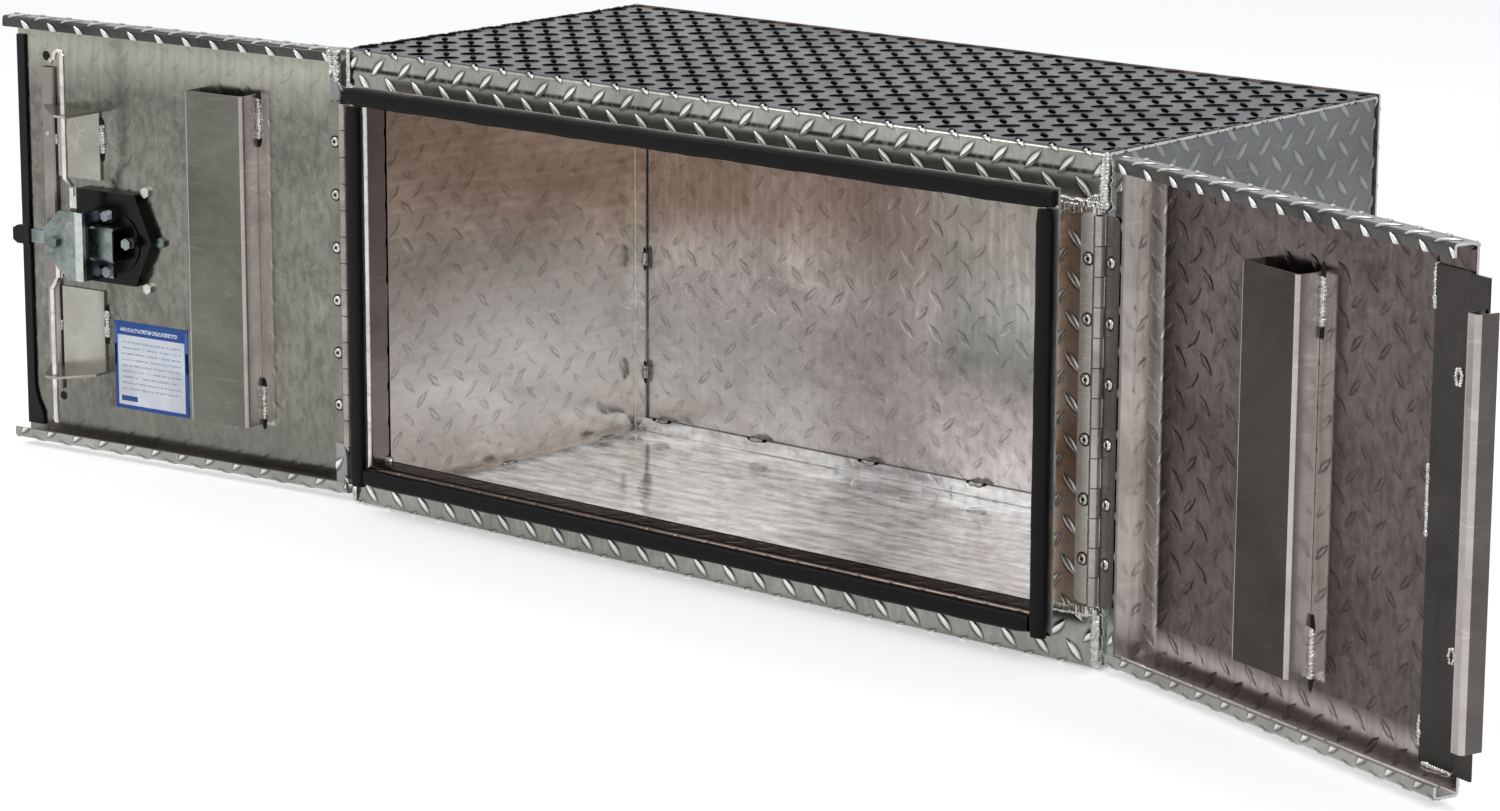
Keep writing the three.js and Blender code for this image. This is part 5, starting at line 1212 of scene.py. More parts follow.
# %% Plain sheet, zinc, steel and weld metal
metal("plain_left", (112, 111, 103), (80, 79, 72), (0.2, 0.36), stain_scale=6.0, mottle=0.12)
metal("plain_right", (64, 60, 56), (49, 45, 43), (0.18, 0.34))
metal("fold_side", (204, 196, 192), (176, 167, 163), (0.2, 0.36), waves=0.0008, metallic=0.75)
metal("fold_left", (176, 168, 163), (146, 138, 133), (0.26, 0.36), waves=0.0004, metallic=0.85)
metal("fold_line", (190, 182, 178), (158, 150, 146), (0.2, 0.3), waves=0.0004, metallic=0.8)
metal("strike_leg", (96, 92, 89), (74, 70, 67), (0.18, 0.32), waves=0.0008)
metal("strike_bright", (164, 159, 156), (122, 117, 113), (0.18, 0.32), waves=0.0016, stain_scale=5.0)
metal("guide_sheet", (168, 166, 157), (136, 134, 125), (0.2, 0.36), flat=False, waves=0.0008, metallic=0.85)
metal("edge_sheet", (158, 151, 144), (120, 112, 106), (0.2, 0.36), flat=False, waves=0.0008, metallic=0.85)
metal("plate_right", (62, 59, 57), (48, 46, 44), (0.2, 0.34), flat=False, waves=0.001)
for name, clean, stained, rough, stain_scale, more in (
        ("rod_steel", (222, 219, 212), (176, 172, 164), (0.14, 0.28), 60.0, dict(metallic=0.9)),
        ("dark_bolt", (104, 118, 112), (66, 76, 72), (0.22, 0.36), 90.0, {}),
        ("zinc", (142, 150, 147), (98, 108, 108), (0.2, 0.36), 60.0, dict(stain_share=0.5)),
        ("bolt_zinc", (206, 212, 214), (160, 166, 166), (0.18, 0.32), 90.0, {}),
        # bolt_bright is zinc painted near white, a painted highlight for the bracket's bolts.
        ("bolt_bright", (238, 240, 242), (196, 200, 204), (0.16, 0.3), 90.0, dict(metallic=0.45)),
        ("brassy", (182, 174, 156), (130, 122, 104), (0.2, 0.34), 90.0, {}),
        ("hinge_steel", (170, 163, 157), (132, 125, 119), (0.2, 0.36), 30.0, dict(metallic=0.8)),
        # The three leaf finishes are one hinge steel, painted light on the box's leaves, darker on the right
        # door's and darkest on the left door's, by where each stands in the light.
        ("leaf_left", (128, 128, 118), (104, 104, 95), (0.2, 0.36), 30.0, dict(metallic=0.9)),
        ("leaf_box", (226, 221, 214), (190, 184, 176), (0.2, 0.36), 30.0, dict(metallic=0.7)),
        ("leaf_door", (142, 138, 132), (108, 104, 98), (0.2, 0.36), 30.0, dict(metallic=0.8)),
        ("rivet_steel", (204, 201, 196), (150, 146, 140), (0.12, 0.24), 80.0, {}),
        ("weld_metal", (206, 204, 200), (118, 114, 108), (0.14, 0.3), 220.0, dict(waves=0.0)),
        ("weld_dull", (92, 92, 90), (40, 39, 38), (0.2, 0.36), 160.0, dict(waves=0.0))):
    metal(name, clean, stained, rough, stain_scale=stain_scale, flat=False, **more)
print("finishes so far:", len(looks))

# %% [markdown]
# The card on the left door is white, with a blue border, a blue heading band and grey ruled lines.
# Border, band and rules are simple masks across the card, measured from its own corner.

# %% Card finish
CARD_ORIGIN, CARD_SIZE, CARD_LEVEL = (235.0, 51.5), (99.0, 92.0), -23.9
BORDER = 0.045
CARD_BLUE = (38, 88, 168)


def band(tree, value, low, high):
    """One between two limits and zero elsewhere."""
    above = math_node(tree, "GREATER_THAN", value, low)
    below = math_node(tree, "LESS_THAN", value, high)
    return times(tree, above, below)


tree, shader = new_look("ruled_card")
place = flat_place(tree)
across, upward = split(tree, place)[:2]


def block(x_range, y_range):
    return times(tree, band(tree, upward, *y_range), band(tree, across, *x_range))


inside_border = (BORDER, 1 - BORDER)
heading = math_node(tree, "GREATER_THAN", upward, 0.845)
blue = math_node(tree, "SUBTRACT", 1.0, block(inside_border, inside_border))
blue = math_node(tree, "MAXIMUM", blue, heading)
rules = band(tree, math_node(tree, "FRACT", times(tree, upward, 15.0)), 0.32, 0.62)
rules = times(tree, rules, spread(tree, noise(tree, place, 34.0, 1.0), 0.42, 0.5))
rules = times(tree, rules, block((0.1, 0.9), (0.2, 0.8)))
heading_rule = block((0.08, 0.86), (0.885, 0.93))
heading_rule = times(tree, heading_rule, spread(tree, noise(tree, place, 46.0, 1.0), 0.44, 0.5))
faded = group_node(tree, stains, Vector=place, Scale=3.0, Share=0.5)
paper = mix_colour(tree, faded, colour(240, 243, 249), colour(222, 228, 238))
paper = mix_colour(tree, times(tree, rules, 0.6), paper, colour(132, 146, 178))
paper = mix_colour(tree, blue, paper, colour(*CARD_BLUE))
paper = mix_colour(tree, heading_rule, paper, colour(224, 230, 240))
paper = mix_colour(tree, block((0.08, 0.3), (0.09, 0.15)), paper, colour(48, 92, 166))
tree.links.new(paper, shader.inputs["Base Color"])
worn = spread(tree, noise(tree, place, 20.0, 3.0), 0.3, 0.7, 0.26, 0.4)
tree.links.new(worn, shader.inputs["Roughness"])
shader.inputs["Coat Weight"].default_value = 0.2
# The card also glows faintly in its own colours: painted light that keeps it bright.
tree.links.new(paper, shader.inputs["Emission Color"])
shader.inputs["Emission Strength"].default_value = 0.2
print("card finish: ruled_card")

# %% [markdown]
# The sponge seal is a rounded strip, glued on by hand, so it wanders a little and dips in the
# middle. It is swept along its run through many slightly different sections. The doors press the
# top and bottom runs flat as they close. Each of these runs is two pieces, one for each door,
# that meet where the right door's plate ends.

# %% Sponge seal
SEAL_WIDTH, SEAL_DEPTH, SEAL_ROUND = 17.2 * MM, 9.4 * MM, 3.6 * MM
SEAL_BACK = RETURN_PLANE - 0.3 * MM
SEAL_FRONT = SEAL_BACK - 10 * MM
SEAL_MIDDLE = (SEAL_BACK + SEAL_FRONT) / 2
SEAL_JOIN = -21 * MM


def ring_faces(bm, rings, slot=0):
    """Joins rings of points to a tube with closed ends."""
    loops = [[bm.verts.new(p) for p in ring] for ring in rings]
    for a, b in zip(loops, loops[1:]):
        for k in range(len(a)):
            n = (k + 1) % len(a)
            bm.faces.new((a[k], a[n], b[n], b[k])).material_index = slot
    bm.faces.new(list(reversed(loops[0]))).material_index = slot
    bm.faces.new(loops[-1]).material_index = slot


def rounded_section(width, depth, radius, steps=4):
    """Points round a rectangle with round corners."""
    points = []
    for quarter, (cx, cy) in enumerate(((1, 1), (-1, 1), (-1, -1), (1, -1))):
        for k in range(steps + 1):
            angle = math.pi / 2 * (quarter + k / steps)
            points.append((cx * (width / 2 - radius) + radius * math.cos(angle),
                           cy * (depth / 2 - radius) + radius * math.sin(angle)))
    return points


def wander(t, seed):
    """A smooth hand-made unevenness between -1 and 1."""
    waves = ((0.5, 21, 1), (0.3, 47, 2.1), (0.2, 83, 0.7))
    return sum(size * math.sin(t * pace + phase * seed) for size, pace, phase in waves)


def seal_run(name, start, end, across, node, seed, slack, part=(0, 1)):
    """The part of a run that lies between two shares of its length. across is the direction of
    its width. The part that starts the run stands for the CAD's solid."""
    start, end, across = Vector(start), Vector(end), Vector(across)
    forward = Vector((0, 1, 0))
    length = (end - start).length
    first, last = part
    count = max(8, int(length * (last - first) / 0.012))
    rings = []
    for i in range(count + 1):
        t = first + (last - first) * i / count
        wave = wander(t * length / 0.4, seed)
        squeeze = 1 - 0.03 * (1 + wander(t * 3, seed + 2)) / 2
        inset = 0.86 if min(t, 1 - t) < 1e-6 else 1.0
        ring = []
        for a, b in rounded_section(SEAL_WIDTH * squeeze, SEAL_DEPTH, SEAL_ROUND):
            crown = 0.25 * MM * math.cos(a / SEAL_WIDTH * math.pi) if b < 0 else 0
            sideways = across * (a * inset + wave * slack)
            ring.append(start.lerp(end, t) + sideways + forward * ((b - crown) * inset))
        rings.append(ring)
    bm = bmesh.new()
    ring_faces(bm, rings)
    return finished(name, bm, ["sponge"], "box", [node] if first == 0 else (), weighted=False)


HALF_STRIP, LIP_GAP = 9.25 * MM, 0.9 * MM
side_x = OPEN_HALF + LIP_GAP + HALF_STRIP
inner_half = side_x - 9.6 * MM
top_half = OPEN_HALF + RETURN_BAND
level_runs = (
    ("top", -top_half + 0.5 * MM, top_half - 0.3 * MM, OPEN_TOP + LIP_GAP + HALF_STRIP, 1.0, 0.55 * MM),
    ("bottom", -inner_half, inner_half, OPEN_FOOT - RETURN_BAND + HALF_STRIP, 2.4, 0.4 * MM),
)
seals = []
for name, low, high, z, seed, slack in level_runs:
    share = (SEAL_JOIN - low) / (high - low)
    ends = ((low, SEAL_MIDDLE, z), (high, SEAL_MIDDLE, z))
    for door, part in (("left", (0, share)), ("right", (share, 1))):
        run = seal_run(f"{name}_seal_{door}", *ends, (0, 0, 1), "seal_" + name, seed, slack, part)
        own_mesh(run)
        seals.append(run)
for name, side, seed, slack in (("left", LEFT, 3.9, 0.3 * MM), ("right", RIGHT, 5.1, 0.35 * MM)):
    ends = [(side * side_x, SEAL_MIDDLE, z) for z in (30.2 * MM, OPEN_TOP + 0.4 * MM)]
    seals.append(seal_run(name + "_seal", *ends, (1, 0, 0), "seal_" + name, seed, slack))
print("seal faces:", sum(len(run.data.polygons) for run in seals))

# %% [markdown]
# Knuckles, rivets and studs are all round. Each is a short profile turned round its axis, so one
# helper makes every one of them.

# %% Turned shapes
def around(a, b, angle):
    """A direction at an angle between two others."""
    return a * math.cos(angle) + b * math.sin(angle)


def turned(bm, profile, origin, axis, steps=16, slot=0):
    """Turns (radius, height) pairs in millimetres round an axis through origin."""
    axis = Vector(axis).normalized()
    helper = Vector((0, 0, 1)) if abs(axis.z) < 0.9 else Vector((1, 0, 0))
    a = axis.cross(helper).normalized()
    b = axis.cross(a)
    rings = []
    for radius, height in profile:
        middle = Vector(origin) + axis * (height * MM)
        rings.append([middle + around(a, b, 2 * math.pi * k / steps) * (radius * MM) for k in range(steps)])
    ring_faces(bm, rings, slot)


print("turned shapes ready")

# %% [markdown]
# A piano hinge is two rolled leaves whose knuckles take turns round one pin. Each leaf is a plate
# with rounded corners, every second knuckle and six blind rivets. A rivet's head has a dimple,
# where its nail broke off, and stands in a thin dark ring that is painted shade.

# %% Piano hinges
RIVET = [(5.0, -0.25), (5.0, 0.3), (4.7, 1.1), (4.0, 1.8), (3.1, 2.15), (2.4, 2.15), (1.9, 1.8), (1.8, 1.3)]
RIVET_HOLE = [(1.75, 1.2), (1.75, 1.4)]
RIVET_SHADE_RING = [(6.2, 0), (6.2, 0.12)]
RIVETS = 6
LEAF_CORNER = [(6, 0), (16, 0), (18.3, 0.5), (20.2, 1.8), (21.5, 3.7), (22, 6)]
KNUCKLE, KNUCKLES, HINGE_FOOT = 26.4 * MM, 13, 60 * MM
KNUCKLE_GAP = 0.4 * MM
HINGE_TOP = HINGE_FOOT + KNUCKLE * KNUCKLES
BARREL = (KNUCKLE - 2 * KNUCKLE_GAP) / MM
KNUCKLE_PROFILE = [(3.3, 0), (5.2, 0), (5.45, 0.35), (5.45, BARREL - 0.35), (5.2, BARREL), (3.3, BARREL)]


def hinge_leaf(name, side, on_door_side, body, node, look):
    facing = -1 if on_door_side else 1
    seat = AXIS_Y + facing * 5.5 * MM
    face = seat - facing * 2.3 * MM
    place = opened[side] if on_door_side else Matrix.Identity(4)

    def at(u, y, z):
        """A point of the leaf, u millimetres from the hinge's axis."""
        return place @ Vector((side * (AXIS_X - u * MM), y, z))

    bm = bmesh.new()
    outline = [(u, HINGE_FOOT + v * MM) for u, v in LEAF_CORNER]
    outline += [(u, HINGE_TOP - v * MM) for u, v in reversed(LEAF_CORNER)]
    ring_faces(bm, [[at(u, depth, z) for u, z in outline] for depth in (seat, face)])
    web = [(0.5, seat), (6.5, seat), (6.5, face), (0.5, face)]
    for i in range(1 if on_door_side else 0, KNUCKLES, 2):
        z0 = HINGE_FOOT + KNUCKLE * i + KNUCKLE_GAP
        z1 = HINGE_FOOT + KNUCKLE * (i + 1) - KNUCKLE_GAP
        turned(bm, KNUCKLE_PROFILE, at(0, AXIS_Y, z0), (0, 0, 1), 24, slot=3)
        ring_faces(bm, [[at(u, y, z) for u, y in web] for z in (z0 + 0.2 * MM, z1 - 0.2 * MM)])
    outward = place.to_3x3() @ Vector((0, -facing, 0))
    for i in range(RIVETS):
        height = (HINGE_FOOT + HINGE_TOP) / 2 + 2 * KNUCKLE * (i - (RIVETS - 1) / 2)
        for profile, steps, slot in ((RIVET_SHADE_RING, 18, 2), (RIVET_HOLE, 10, 2), (RIVET, 18, 1)):
            turned(bm, profile, at(13.5, face, height), outward, steps, slot)
    # The soot finish paints the shade ring round each rivet's foot, and the small disc in its dimple.
    slots = [look, "rivet_steel", "soot", "hinge_steel"]
    return finished(name, bm, slots, body, [node], merge=1e-7)


leaves = []
for name, side, look in (("left", LEFT, "leaf_left"), ("right", RIGHT, "leaf_door")):
    hinge = name + "_hinge"
    leaves.append(hinge_leaf(name + "_box_leaf", side, False, "box", hinge + "_box_leaf", "leaf_box"))
    leaves.append(hinge_leaf(name + "_door_leaf", side, True, name + "_door", hinge + "_door_leaf", look))
print("hinge faces:", sum(len(o.data.polygons) for o in leaves))

# %% [markdown]
# A weld is a row of solidified puddles, each lapping over the last, with soot at its two ends. A
# row of flattened domes of uneven size gives the ripples and catches light as the real beads do.
# The unevenness comes from a plain formula, so every run gives the same bead.

# %% Weld beads
DOME = ((1.0, -0.15), (0.96, 0.25), (0.84, 0.6), (0.6, 0.84), (0.3, 0.96))


def uneven(k, seed):
    return math.sin(k * 12.9898 + seed * 78.233) * 43758.5453 % 1.0


def soot_patch(bm, spot, along, across, outward, way, size, seed):
    """A thin ragged patch at a bead's end, drawn out away from the bead."""
    outline = []
    for j in range(14):
        angle = 2 * math.pi * j / 14
        reach = (1 + 0.35 * uneven(j, seed)) * size * MM
        stretch = 1.9 if math.cos(angle) * way > 0 else 0.8
        outline.append(spot + around(along * stretch, across * 0.55, angle) * reach)
    ring_faces(bm, [[p + outward * level * MM for p in outline] for level in (0.02, 0.1)], 1)


def bead(bm, start, end, outward, wide=5.5, high=2.2, step=2.4, seed=1.0, soot=0.0, slot=0):
    """A bead between two points in metres, on a face that looks outward, with its width, height,
    step and soot in millimetres."""
    start, end, outward = Vector(start), Vector(end), Vector(outward).normalized()
    along = (end - start).normalized()
    across = outward.cross(along).normalized()
    count = max(1, int((end - start).length / (step * MM)))
    for k in range(count + 1):
        size = 0.72 + 0.3 * uneven(k, seed) + 0.26 * uneven(k // 3, seed + 5)
        spot = start.lerp(end, k / count) + across * (uneven(k // 2 + 9, seed) - 0.5) * 1.4 * MM
        rings = []
        for radius, height in DOME:
            middle = spot + outward * height * size * high * MM
            reach = radius * size * wide / 2 * MM
            turns = (2 * math.pi * j / 10 for j in range(10))
            rings.append([middle + around(along * 0.85, across, angle) * reach for angle in turns])
        ring_faces(bm, rings, slot)
    if soot:
        for spot, way in ((start, -1), (end, 1)):
            soot_patch(bm, spot, along, across, outward, way, soot, seed + way)


def weld_piece(name, bm, body):
    slots = ["weld_metal", "soot", "weld_dull"]
    return finished(name, bm, slots, body, (), weighted=False, merge=1e-8)


print("a bead's dome has", len(DOME), "rings")

# %% [markdown]
# On the doors, beads hold the stiffeners, the rods' guides and the inner plate, a cluster closes the
# left door's top corner, and two welded plugs show as rings on the plate. Small bright studs on
# the left door and their dirt are turned shapes.

# %% Door welds
def door_bead(bm, side, start, end, level, **how):
    outward = opened[side].to_3x3() @ Vector((0, 1, 0))
    bead(bm, on_door(side, *start, level), on_door(side, *end, level), outward, **how)


def upright_beads(bm, side, s, level, beads, **how):
    """Beads that run up a door at one distance, each given by its foot, top, seed and soot."""
    for z0, z1, seed, soot in beads:
        door_bead(bm, side, (s, z0), (s, z1), level, seed=seed, soot=soot, **how)


HEAVY = dict(wide=8.5, high=3.6, step=3.2)
bm = bmesh.new()
upright_beads(bm, LEFT, 134.8, SKIN_FACE, ((354, 390, 1, 5.5), (66, 96, 2, 5.5)), **HEAVY)
upright_beads(bm, LEFT, 342.8, SKIN_FACE, ((318, 344, 3, 4.5), (126, 150, 4, 4.5)),
              wide=7.5, high=3.2, step=3.2)
upright_beads(bm, LEFT, 403.6, SKIN_FACE + 2.7, ((126, 134, 5, 2.0), (322, 330, 6, 0.0)),
              wide=4, high=1.4)
for k, (s, z0, z1) in enumerate(((15, 432, 450), (18, 440, 451), (22, 436, 450), (16, 424, 432))):
    door_bead(bm, LEFT, (s, z0), (s + 2, z1), -2.5, wide=8, high=3.5, step=4.0, seed=80 + k)
inward = opened[LEFT].to_3x3() @ Vector((0, 1, 0))
for profile, s, z, level, steps, slot in (
        ([(6.4, 0), (6.4, 0.1)], 414, 331.4, -24.2, 18, 1),
        ([(4.2, 0), (4.2, 3.8), (3.6, 4.8), (2.2, 5.5), (0.6, 5.8)], 414, 331.4, -24.5, 16, 0),
        ([(4.6, 0), (4.6, 0.1)], 407, 54, SKIN_FACE, 18, 1),
        ([(5.0, 0), (5.0, 0.1)], 417, 411, SKIN_FACE, 18, 1),
        ([(3.0, 0), (2.6, 1.0), (0.6, 1.6)], 411, 407, -24.2, 14, 0)):
    turned(bm, profile, on_door(LEFT, s, z, level), inward, steps, slot)
left_welds = weld_piece("left_door_welds", bm, "left_door")

bm = bmesh.new()
upright_beads(bm, RIGHT, 268.2, SKIN_FACE, ((354, 391, 8, 6.0), (60, 98, 9, 6.0)), **HEAVY)
upright_beads(bm, RIGHT, 409.4, SKIN_FACE, ((394, 427, 10, 3.0), (212, 266, 11, 3.0), (40, 62, 12, 3.0)),
              wide=7.5, high=3.0, step=3.0)
door_bead(bm, RIGHT, (416, 24.6), (446, 24.6), SKIN_FACE, wide=8.5, high=3.6, step=3.0, seed=13, soot=3.5)
for s, z, seed in ((443, 344, 14), (447, 121, 15)):
    ring = [(s + 3.6 * math.cos(0.2 + k), z + 6.2 * math.sin(0.2 + k)) for k in range(7)]
    for a, b in zip(ring, ring[1:]):
        door_bead(bm, RIGHT, a, b, -21.5, wide=4.2, high=1.5, seed=seed)
right_welds = weld_piece("right_door_welds", bm, "right_door")
print("door weld faces:", len(left_welds.data.polygons), len(right_welds.data.polygons))

# %% [markdown]
# Thick beads close the frame's corners, thin ones run along the top edges, and tacks hold the panels
# together inside.

# %% Body welds
THICK = dict(wide=11.0, high=3.4, step=2.7)
THIN = dict(wide=8.0, high=3.0, step=2.4)
FORWARD = (0, -1, 0)
near = FRONT + 1.6 * MM
bm = bmesh.new()
for side in (LEFT, RIGHT):
    x0, x1 = side * (OPEN_HALF - 1 * MM), side * (HALF_WIDTH - 4.5 * MM)
    for z, rise, seed in ((OPEN_TOP, -1.5, 20), (OPEN_FOOT, 1.5, 24)):
        bead(bm, (x0, near, z), (x1, near, z + rise * MM), FORWARD, seed=seed + side, **THICK)
    for x, start, end, seed in ((x0, 4.5, 3.5, 44), (x1 - side * 14 * MM, 7, 12, 46)):
        ends = (x, near, OPEN_TOP + start * MM), (x1, near, OPEN_TOP + end * MM)
        bead(bm, *ends, FORWARD, seed=seed + side, **THIN)
    edge_x, edge_y = side * (HALF_WIDTH - 2.6 * MM), FRONT + 2.6 * MM
    for z0, z1, seed in ((OPEN_TOP + 3 * MM, HEIGHT - 5 * MM, 28), (6 * MM, OPEN_FOOT - 3 * MM, 32)):
        bead(bm, (edge_x, edge_y, z0), (edge_x, edge_y, z1), (side * 0.7, -0.7, 0), seed=seed + side, **THICK)
    for z, tilt, seed in ((HEIGHT - 2.6 * MM, 0.65, 36), (2.6 * MM, -0.65, 40)):
        ends = (edge_x, FRONT + 10 * MM, z), (edge_x, SHELL_BACK - 4 * MM, z)
        bead(bm, *ends, (side * 0.75, 0, tilt), wide=5.6, high=2.0, step=2.6, seed=seed + side, slot=2)
frame_welds = weld_piece("frame_welds", bm, "box")


def tack(bm, middle, reach, outward, seed):
    """A short bead that reaches as far to both sides of its middle, all in millimetres."""
    ends = [Vector([(m + way * r) * MM for m, r in zip(middle, reach)]) for way in (-1, 1)]
    bead(bm, *ends, outward, wide=7, high=3, seed=seed, soot=3.5)


bm = bmesh.new()
wall_y = SHELL_BACK / MM
for k, (x, z) in enumerate(((-438.8, 190), (-438.8, 68), (-438.8, 330), (438.8, 200), (438.8, 90))):
    tack(bm, (x, wall_y - 4.4, z), (0, 0, 5), FORWARD, 50 + k)
for k, x in enumerate((-414, -283, -134, 5, 150, 290)):
    tack(bm, (x, wall_y - 5.2, 18.5), (6, 0, 0), (0, -0.8, 0.6), 60 + k)
for k, (side, y) in enumerate(((LEFT, -6), (LEFT, 144), (RIGHT, -60), (RIGHT, 90))):
    tack(bm, (bench_x(side, 18.4) / MM, y, 6.6), (0, 6, 0), (0, 0, 1), 70 + k)
tack_welds = weld_piece("inside_tacks", bm, "box")
print("frame weld faces:", len(frame_welds.data.polygons), "tack faces:", len(tack_welds.data.polygons))

# %% [markdown]
# The stiffeners and the strike are bent from plain sheet. Their bends are round, about 4.5 mm, and
# a round bend draws a bright line along its whole length, which the bends' lighter finish adds to
# as a painted highlight. They are folded with the same helpers.

# %% Bent channels
CHANNEL_BENDS = 6


def channel(name, side, path, z_range, finishes, body, node):
    """A U bent at two corners. Its finishes are for the web, the legs, the cut edges and the bends."""
    line = fold_line(path, CHANNEL_BENDS, (4.0, 1.5))
    web_start, web_end = line[1 + CHANNEL_BENDS][0], line[2 + CHANNEL_BENDS][0]
    bend_start, bend_end = line[1][0], line[2 + 2 * CHANNEL_BENDS][0]

    def by_distance(distance):
        if web_start <= distance <= web_end:
            return (0, 1, 2)
        return (3 if bend_start < distance < bend_end else 1, 1, 2)

    bm = bmesh.new()
    place = lambda e, p: opened[side] @ Vector((p.x, p.y, e))
    folded_sheet(bm, line, straight(*z_range), place, base=0.0, slots=by_distance)
    return finished(name, bm, finishes, body, [node])


def stiffener(name, side, start, look, bend_look, body, node):
    x0, x1 = sorted((bench_x(side, start), bench_x(side, start + 76)))
    seat, web = LIPS - 24.1 * MM, LIPS - 0.7 * MM
    path = [(x1, seat), (x1, web), (x0, web), (x0, seat)]
    finishes = [look, "fold_side", "cut_edge", bend_look]
    return channel(name, side, path, (59 * MM, DOOR_TOP - 58 * MM), finishes, body, node)


left_stiffener = stiffener("left_stiffener_sheet", LEFT, 137, "plain_left", "fold_left",
                           "left_door", "left_door_stiffener")
right_stiffener = stiffener("right_stiffener_sheet", RIGHT, 190, "plain_right", "fold_line",
                            "right_door", "right_door_stiffener")
near_x, far_x = bench_x(RIGHT, 474), bench_x(RIGHT, 489)
strike_web = LIPS + 1 * MM
strike_path = [(near_x, LIPS - 17.4 * MM), (near_x, strike_web), (far_x, strike_web), (far_x, LIPS - 20 * MM)]
strike = channel("strike_sheet", RIGHT, strike_path, (54 * MM, DOOR_TOP - 51 * MM),
                 ["strike_bright", "strike_leg", "cut_edge", "fold_line"], "right_door", "strike_channel")
print("channel faces:", [len(o.data.polygons) for o in (left_stiffener, right_stiffener, strike)])

# %% [markdown]
# The upper rod ends in a small hook. It is a thin tube along a bent path, which is simpler to set
# point by point than to bend with a modifier, and it moves with the rod.

# %% Rod hook
HOOK_BEND = [(355, 420), (355.4, 423.4), (357, 425.6), (359.6, 426.4),
             (362.6, 425.6), (364.8, 423.2), (365.8, 419.8), (366, 416.6)]
ROD_LEVEL, ROD_RADIUS = 20, 2.6 * MM


def wire(bm, points, radius, sides=10):
    """A round wire with a ring at each of its points."""
    rings = []
    for i, p in enumerate(points):
        heading = (points[min(i + 1, len(points) - 1)] - points[max(i - 1, 0)]).normalized()
        a = heading.cross(Vector((0.3, -0.9, 0.2))).normalized()
        b = heading.cross(a)
        rings.append([p + around(a, b, 2 * math.pi * k / sides) * radius for k in range(sides)])
    ring_faces(bm, rings)


bm = bmesh.new()
wire(bm, [on_door(LEFT, s, z, ROD_LEVEL) for s, z in HOOK_BEND], ROD_RADIUS)
hook = finished("upper_rod_hook", bm, ["rod_steel"], "upper_rod", (), weighted=False)
print("hook faces:", len(hook.data.polygons))

# %% [markdown]
# A flat rubber strip covers the left door's free edge. It leans a little and widens at its foot.

# %% Edge rubber
RUBBER = [(433, 20), (455, 20), (455, 431), (444.5, 431), (444.5, 60), (441, 46), (434, 32)]
RUBBER_LAYERS = ((-24.1, 0.25), (-23.9, 0.0), (-21.5, 0.0), (-21.1, 0.3))


def drawn_in(value, limit, by):
    """Moves an outline's number inward: up below the limit, and down above it."""
    return value - by if value > limit else value + by


bm = bmesh.new()
rings = [[on_door(LEFT, drawn_in(s, 450, by), drawn_in(z, 400, by), level) for s, z in RUBBER]
         for level, by in RUBBER_LAYERS]
ring_faces(bm, rings)
rubber_strip = finished("edge_rubber_strip", bm, ["edge_rubber"], "left_door", ["left_edge_rubber"],
                        weighted=False)
print("rubber faces:", len(rubber_strip.data.polygons))

# %% [markdown]
# The card is a thin sheet with a blue border, stuck flat on the left door.

# %% Ruled card
CURL = 0.35
SHARES = (0.0, 0.03, 0.5, 0.97, 1.0)
bm = bmesh.new()
uv = sheet_map(bm)
grid = {}
for i, a in enumerate(SHARES):
    for j, b in enumerate(SHARES):
        s, z = CARD_ORIGIN[0] + CARD_SIZE[0] * (1 - a), CARD_ORIGIN[1] + CARD_SIZE[1] * b
        level = CARD_LEVEL + (CURL if a in (0, 1) and b in (0, 1) else 0)
        grid[i, j] = (bm.verts.new(on_door(LEFT, s, z, level)), (a, b))
for i in range(len(SHARES) - 1):
    for j in range(len(SHARES) - 1):
        corners = [grid[i, j], grid[i + 1, j], grid[i + 1, j + 1], grid[i, j + 1]]
        made = bm.faces.new([c[0] for c in corners])
        for loop, c in zip(made.loops, corners):
            loop[uv].uv = c[1]
bmesh.ops.solidify(bm, geom=bm.faces[:], thickness=0.2 * MM)
card = finished("ruled_card_sheet", bm, ["ruled_card"], "left_door", ["blank_card"],
                weighted=False, merge=1e-8)
print("card faces:", len(card.data.polygons))

# %% [markdown]
# The CAD's own solids are right for the rest: the inner plate, the guides, the rods and bolts, the
# tray, and the latch's bracket, lever and cam. They keep their mesh, and a small bevel rounds the
# edges as a real shear or press does, because a dead sharp edge never catches light.

# %% Finishes for the carried-over pieces
BEVEL_FROM = math.radians(40)
corner = on_door(LEFT, 340, 230, 14.5)
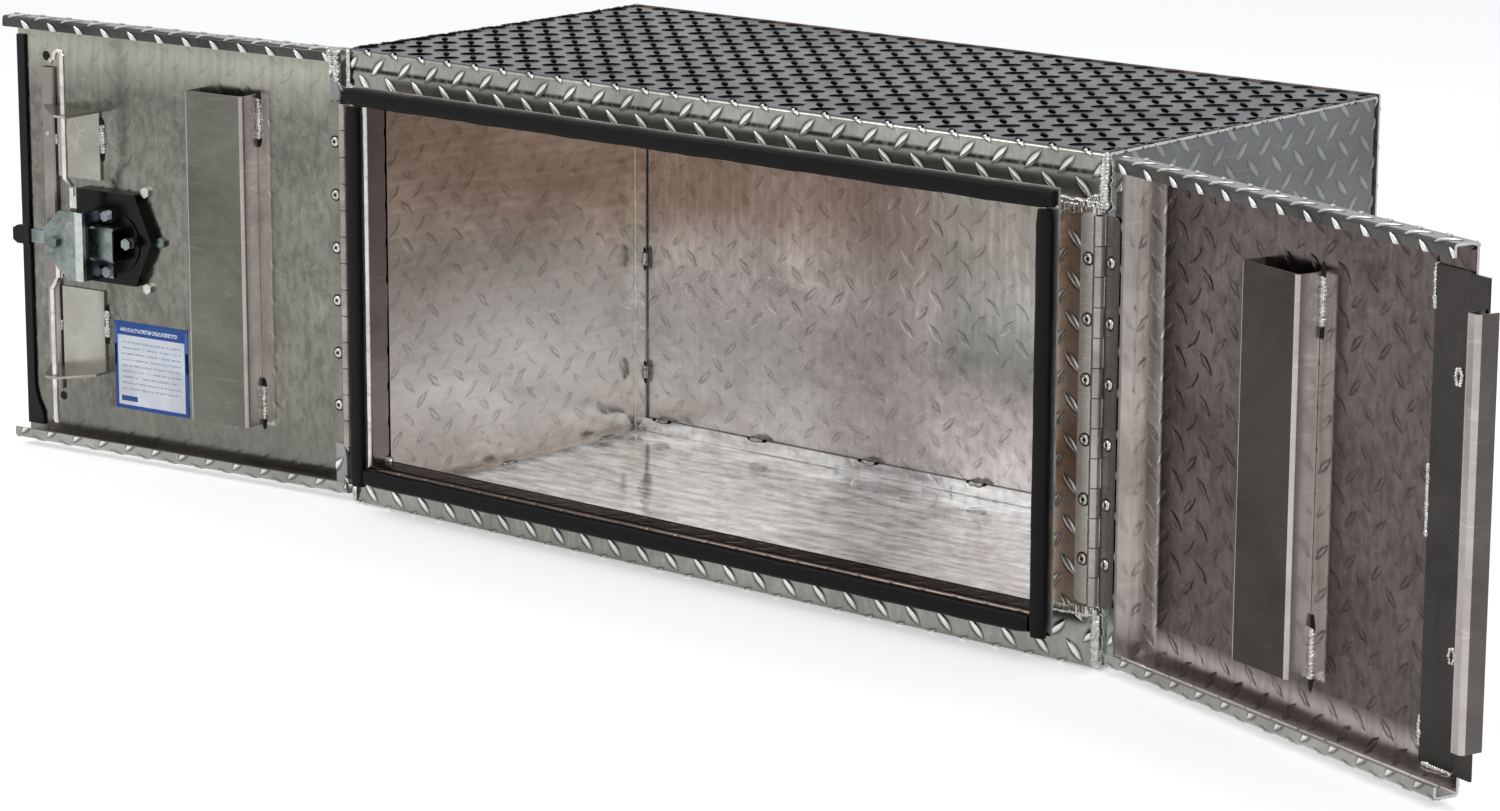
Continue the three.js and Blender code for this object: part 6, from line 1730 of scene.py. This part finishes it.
# The bracket's bands are painted light and shade: a highlight along its fold, and a dark blue shade on the
# side that turns away beyond it.
metal("zinc_bracket", (142, 150, 145), (100, 110, 107), (0.2, 0.34), flat=False,
      stain_share=0.5, stain_scale=60.0,
      painted_bands=[((corner.x - 4 * MM, corner.x + 8 * MM), (-1, corner.y), 0.0012, (204, 207, 206), 0.8),
             ((corner.x - 6 * MM, corner.x + 9 * MM), (corner.y, 1), 0.0008, (56, 66, 88), 0.85)])
carried = {
    "overlap_plate": ("plate_right", 0.4), "left_edge_strip": ("edge_sheet", 0.8),
    "upper_rod_guide": ("guide_sheet", 0.4), "lower_rod_guide": ("guide_sheet", 0.4),
    "latch_tray": ("powder_black", 0.6), "paddle_handle": ("powder_black", 0.5),
    "latch_bracket": ("zinc_bracket", 1.1), "drive_lever": ("zinc", 0.9),
    "latch_cam": ("zinc", 0.3), "cam_rubber_tip": ("edge_rubber", 0.8),
    "lock_cylinder": ("bolt_zinc", 0.3), "key_plug": ("brassy", 0.2), "paddle_pin": ("bolt_zinc", 0.2),
    "left_hinge_pin": ("gap_black", 0.3), "right_hinge_pin": ("gap_black", 0.3),
    "upper_rod": ("rod_steel", 0.2), "lower_rod": ("rod_steel", 0.2),
    "cam_pivot_bolt": ("dark_bolt", 0.3), "lever_stop_bolt": ("zinc", 0.3),
    "tray_bolt_hinge_upper": ("rivet_steel", 0.3), "tray_bolt_hinge_lower": ("rivet_steel", 0.3),
    "tray_bolt_point": ("dark_bolt", 0.3),
    "bracket_bolt_upper": ("bolt_bright", 0.3), "bracket_bolt_lower": ("bolt_bright", 0.3),
}
for node, (look, round_mm) in carried.items():
    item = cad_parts[node]
    item.data.materials.clear()
    item.data.materials.append(looks[look])
    bevel = item.modifiers.new("eased_edges", "BEVEL")
    bevel.width = round_mm * MM
    bevel.segments = 2
    bevel.limit_method = "ANGLE"
    bevel.angle_limit = BEVEL_FROM
    bevel.harden_normals = False
print("carried over:", len(carried), "pieces")

# %% Write the sizes and finish
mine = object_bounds()
plain = lambda box: [[round(float(v), 6) for v in corner] for corner in box]
{"cad": plain(cad_box), "visual": plain(mine)}
print("cad", plain(cad_box), "visual", plain(mine))
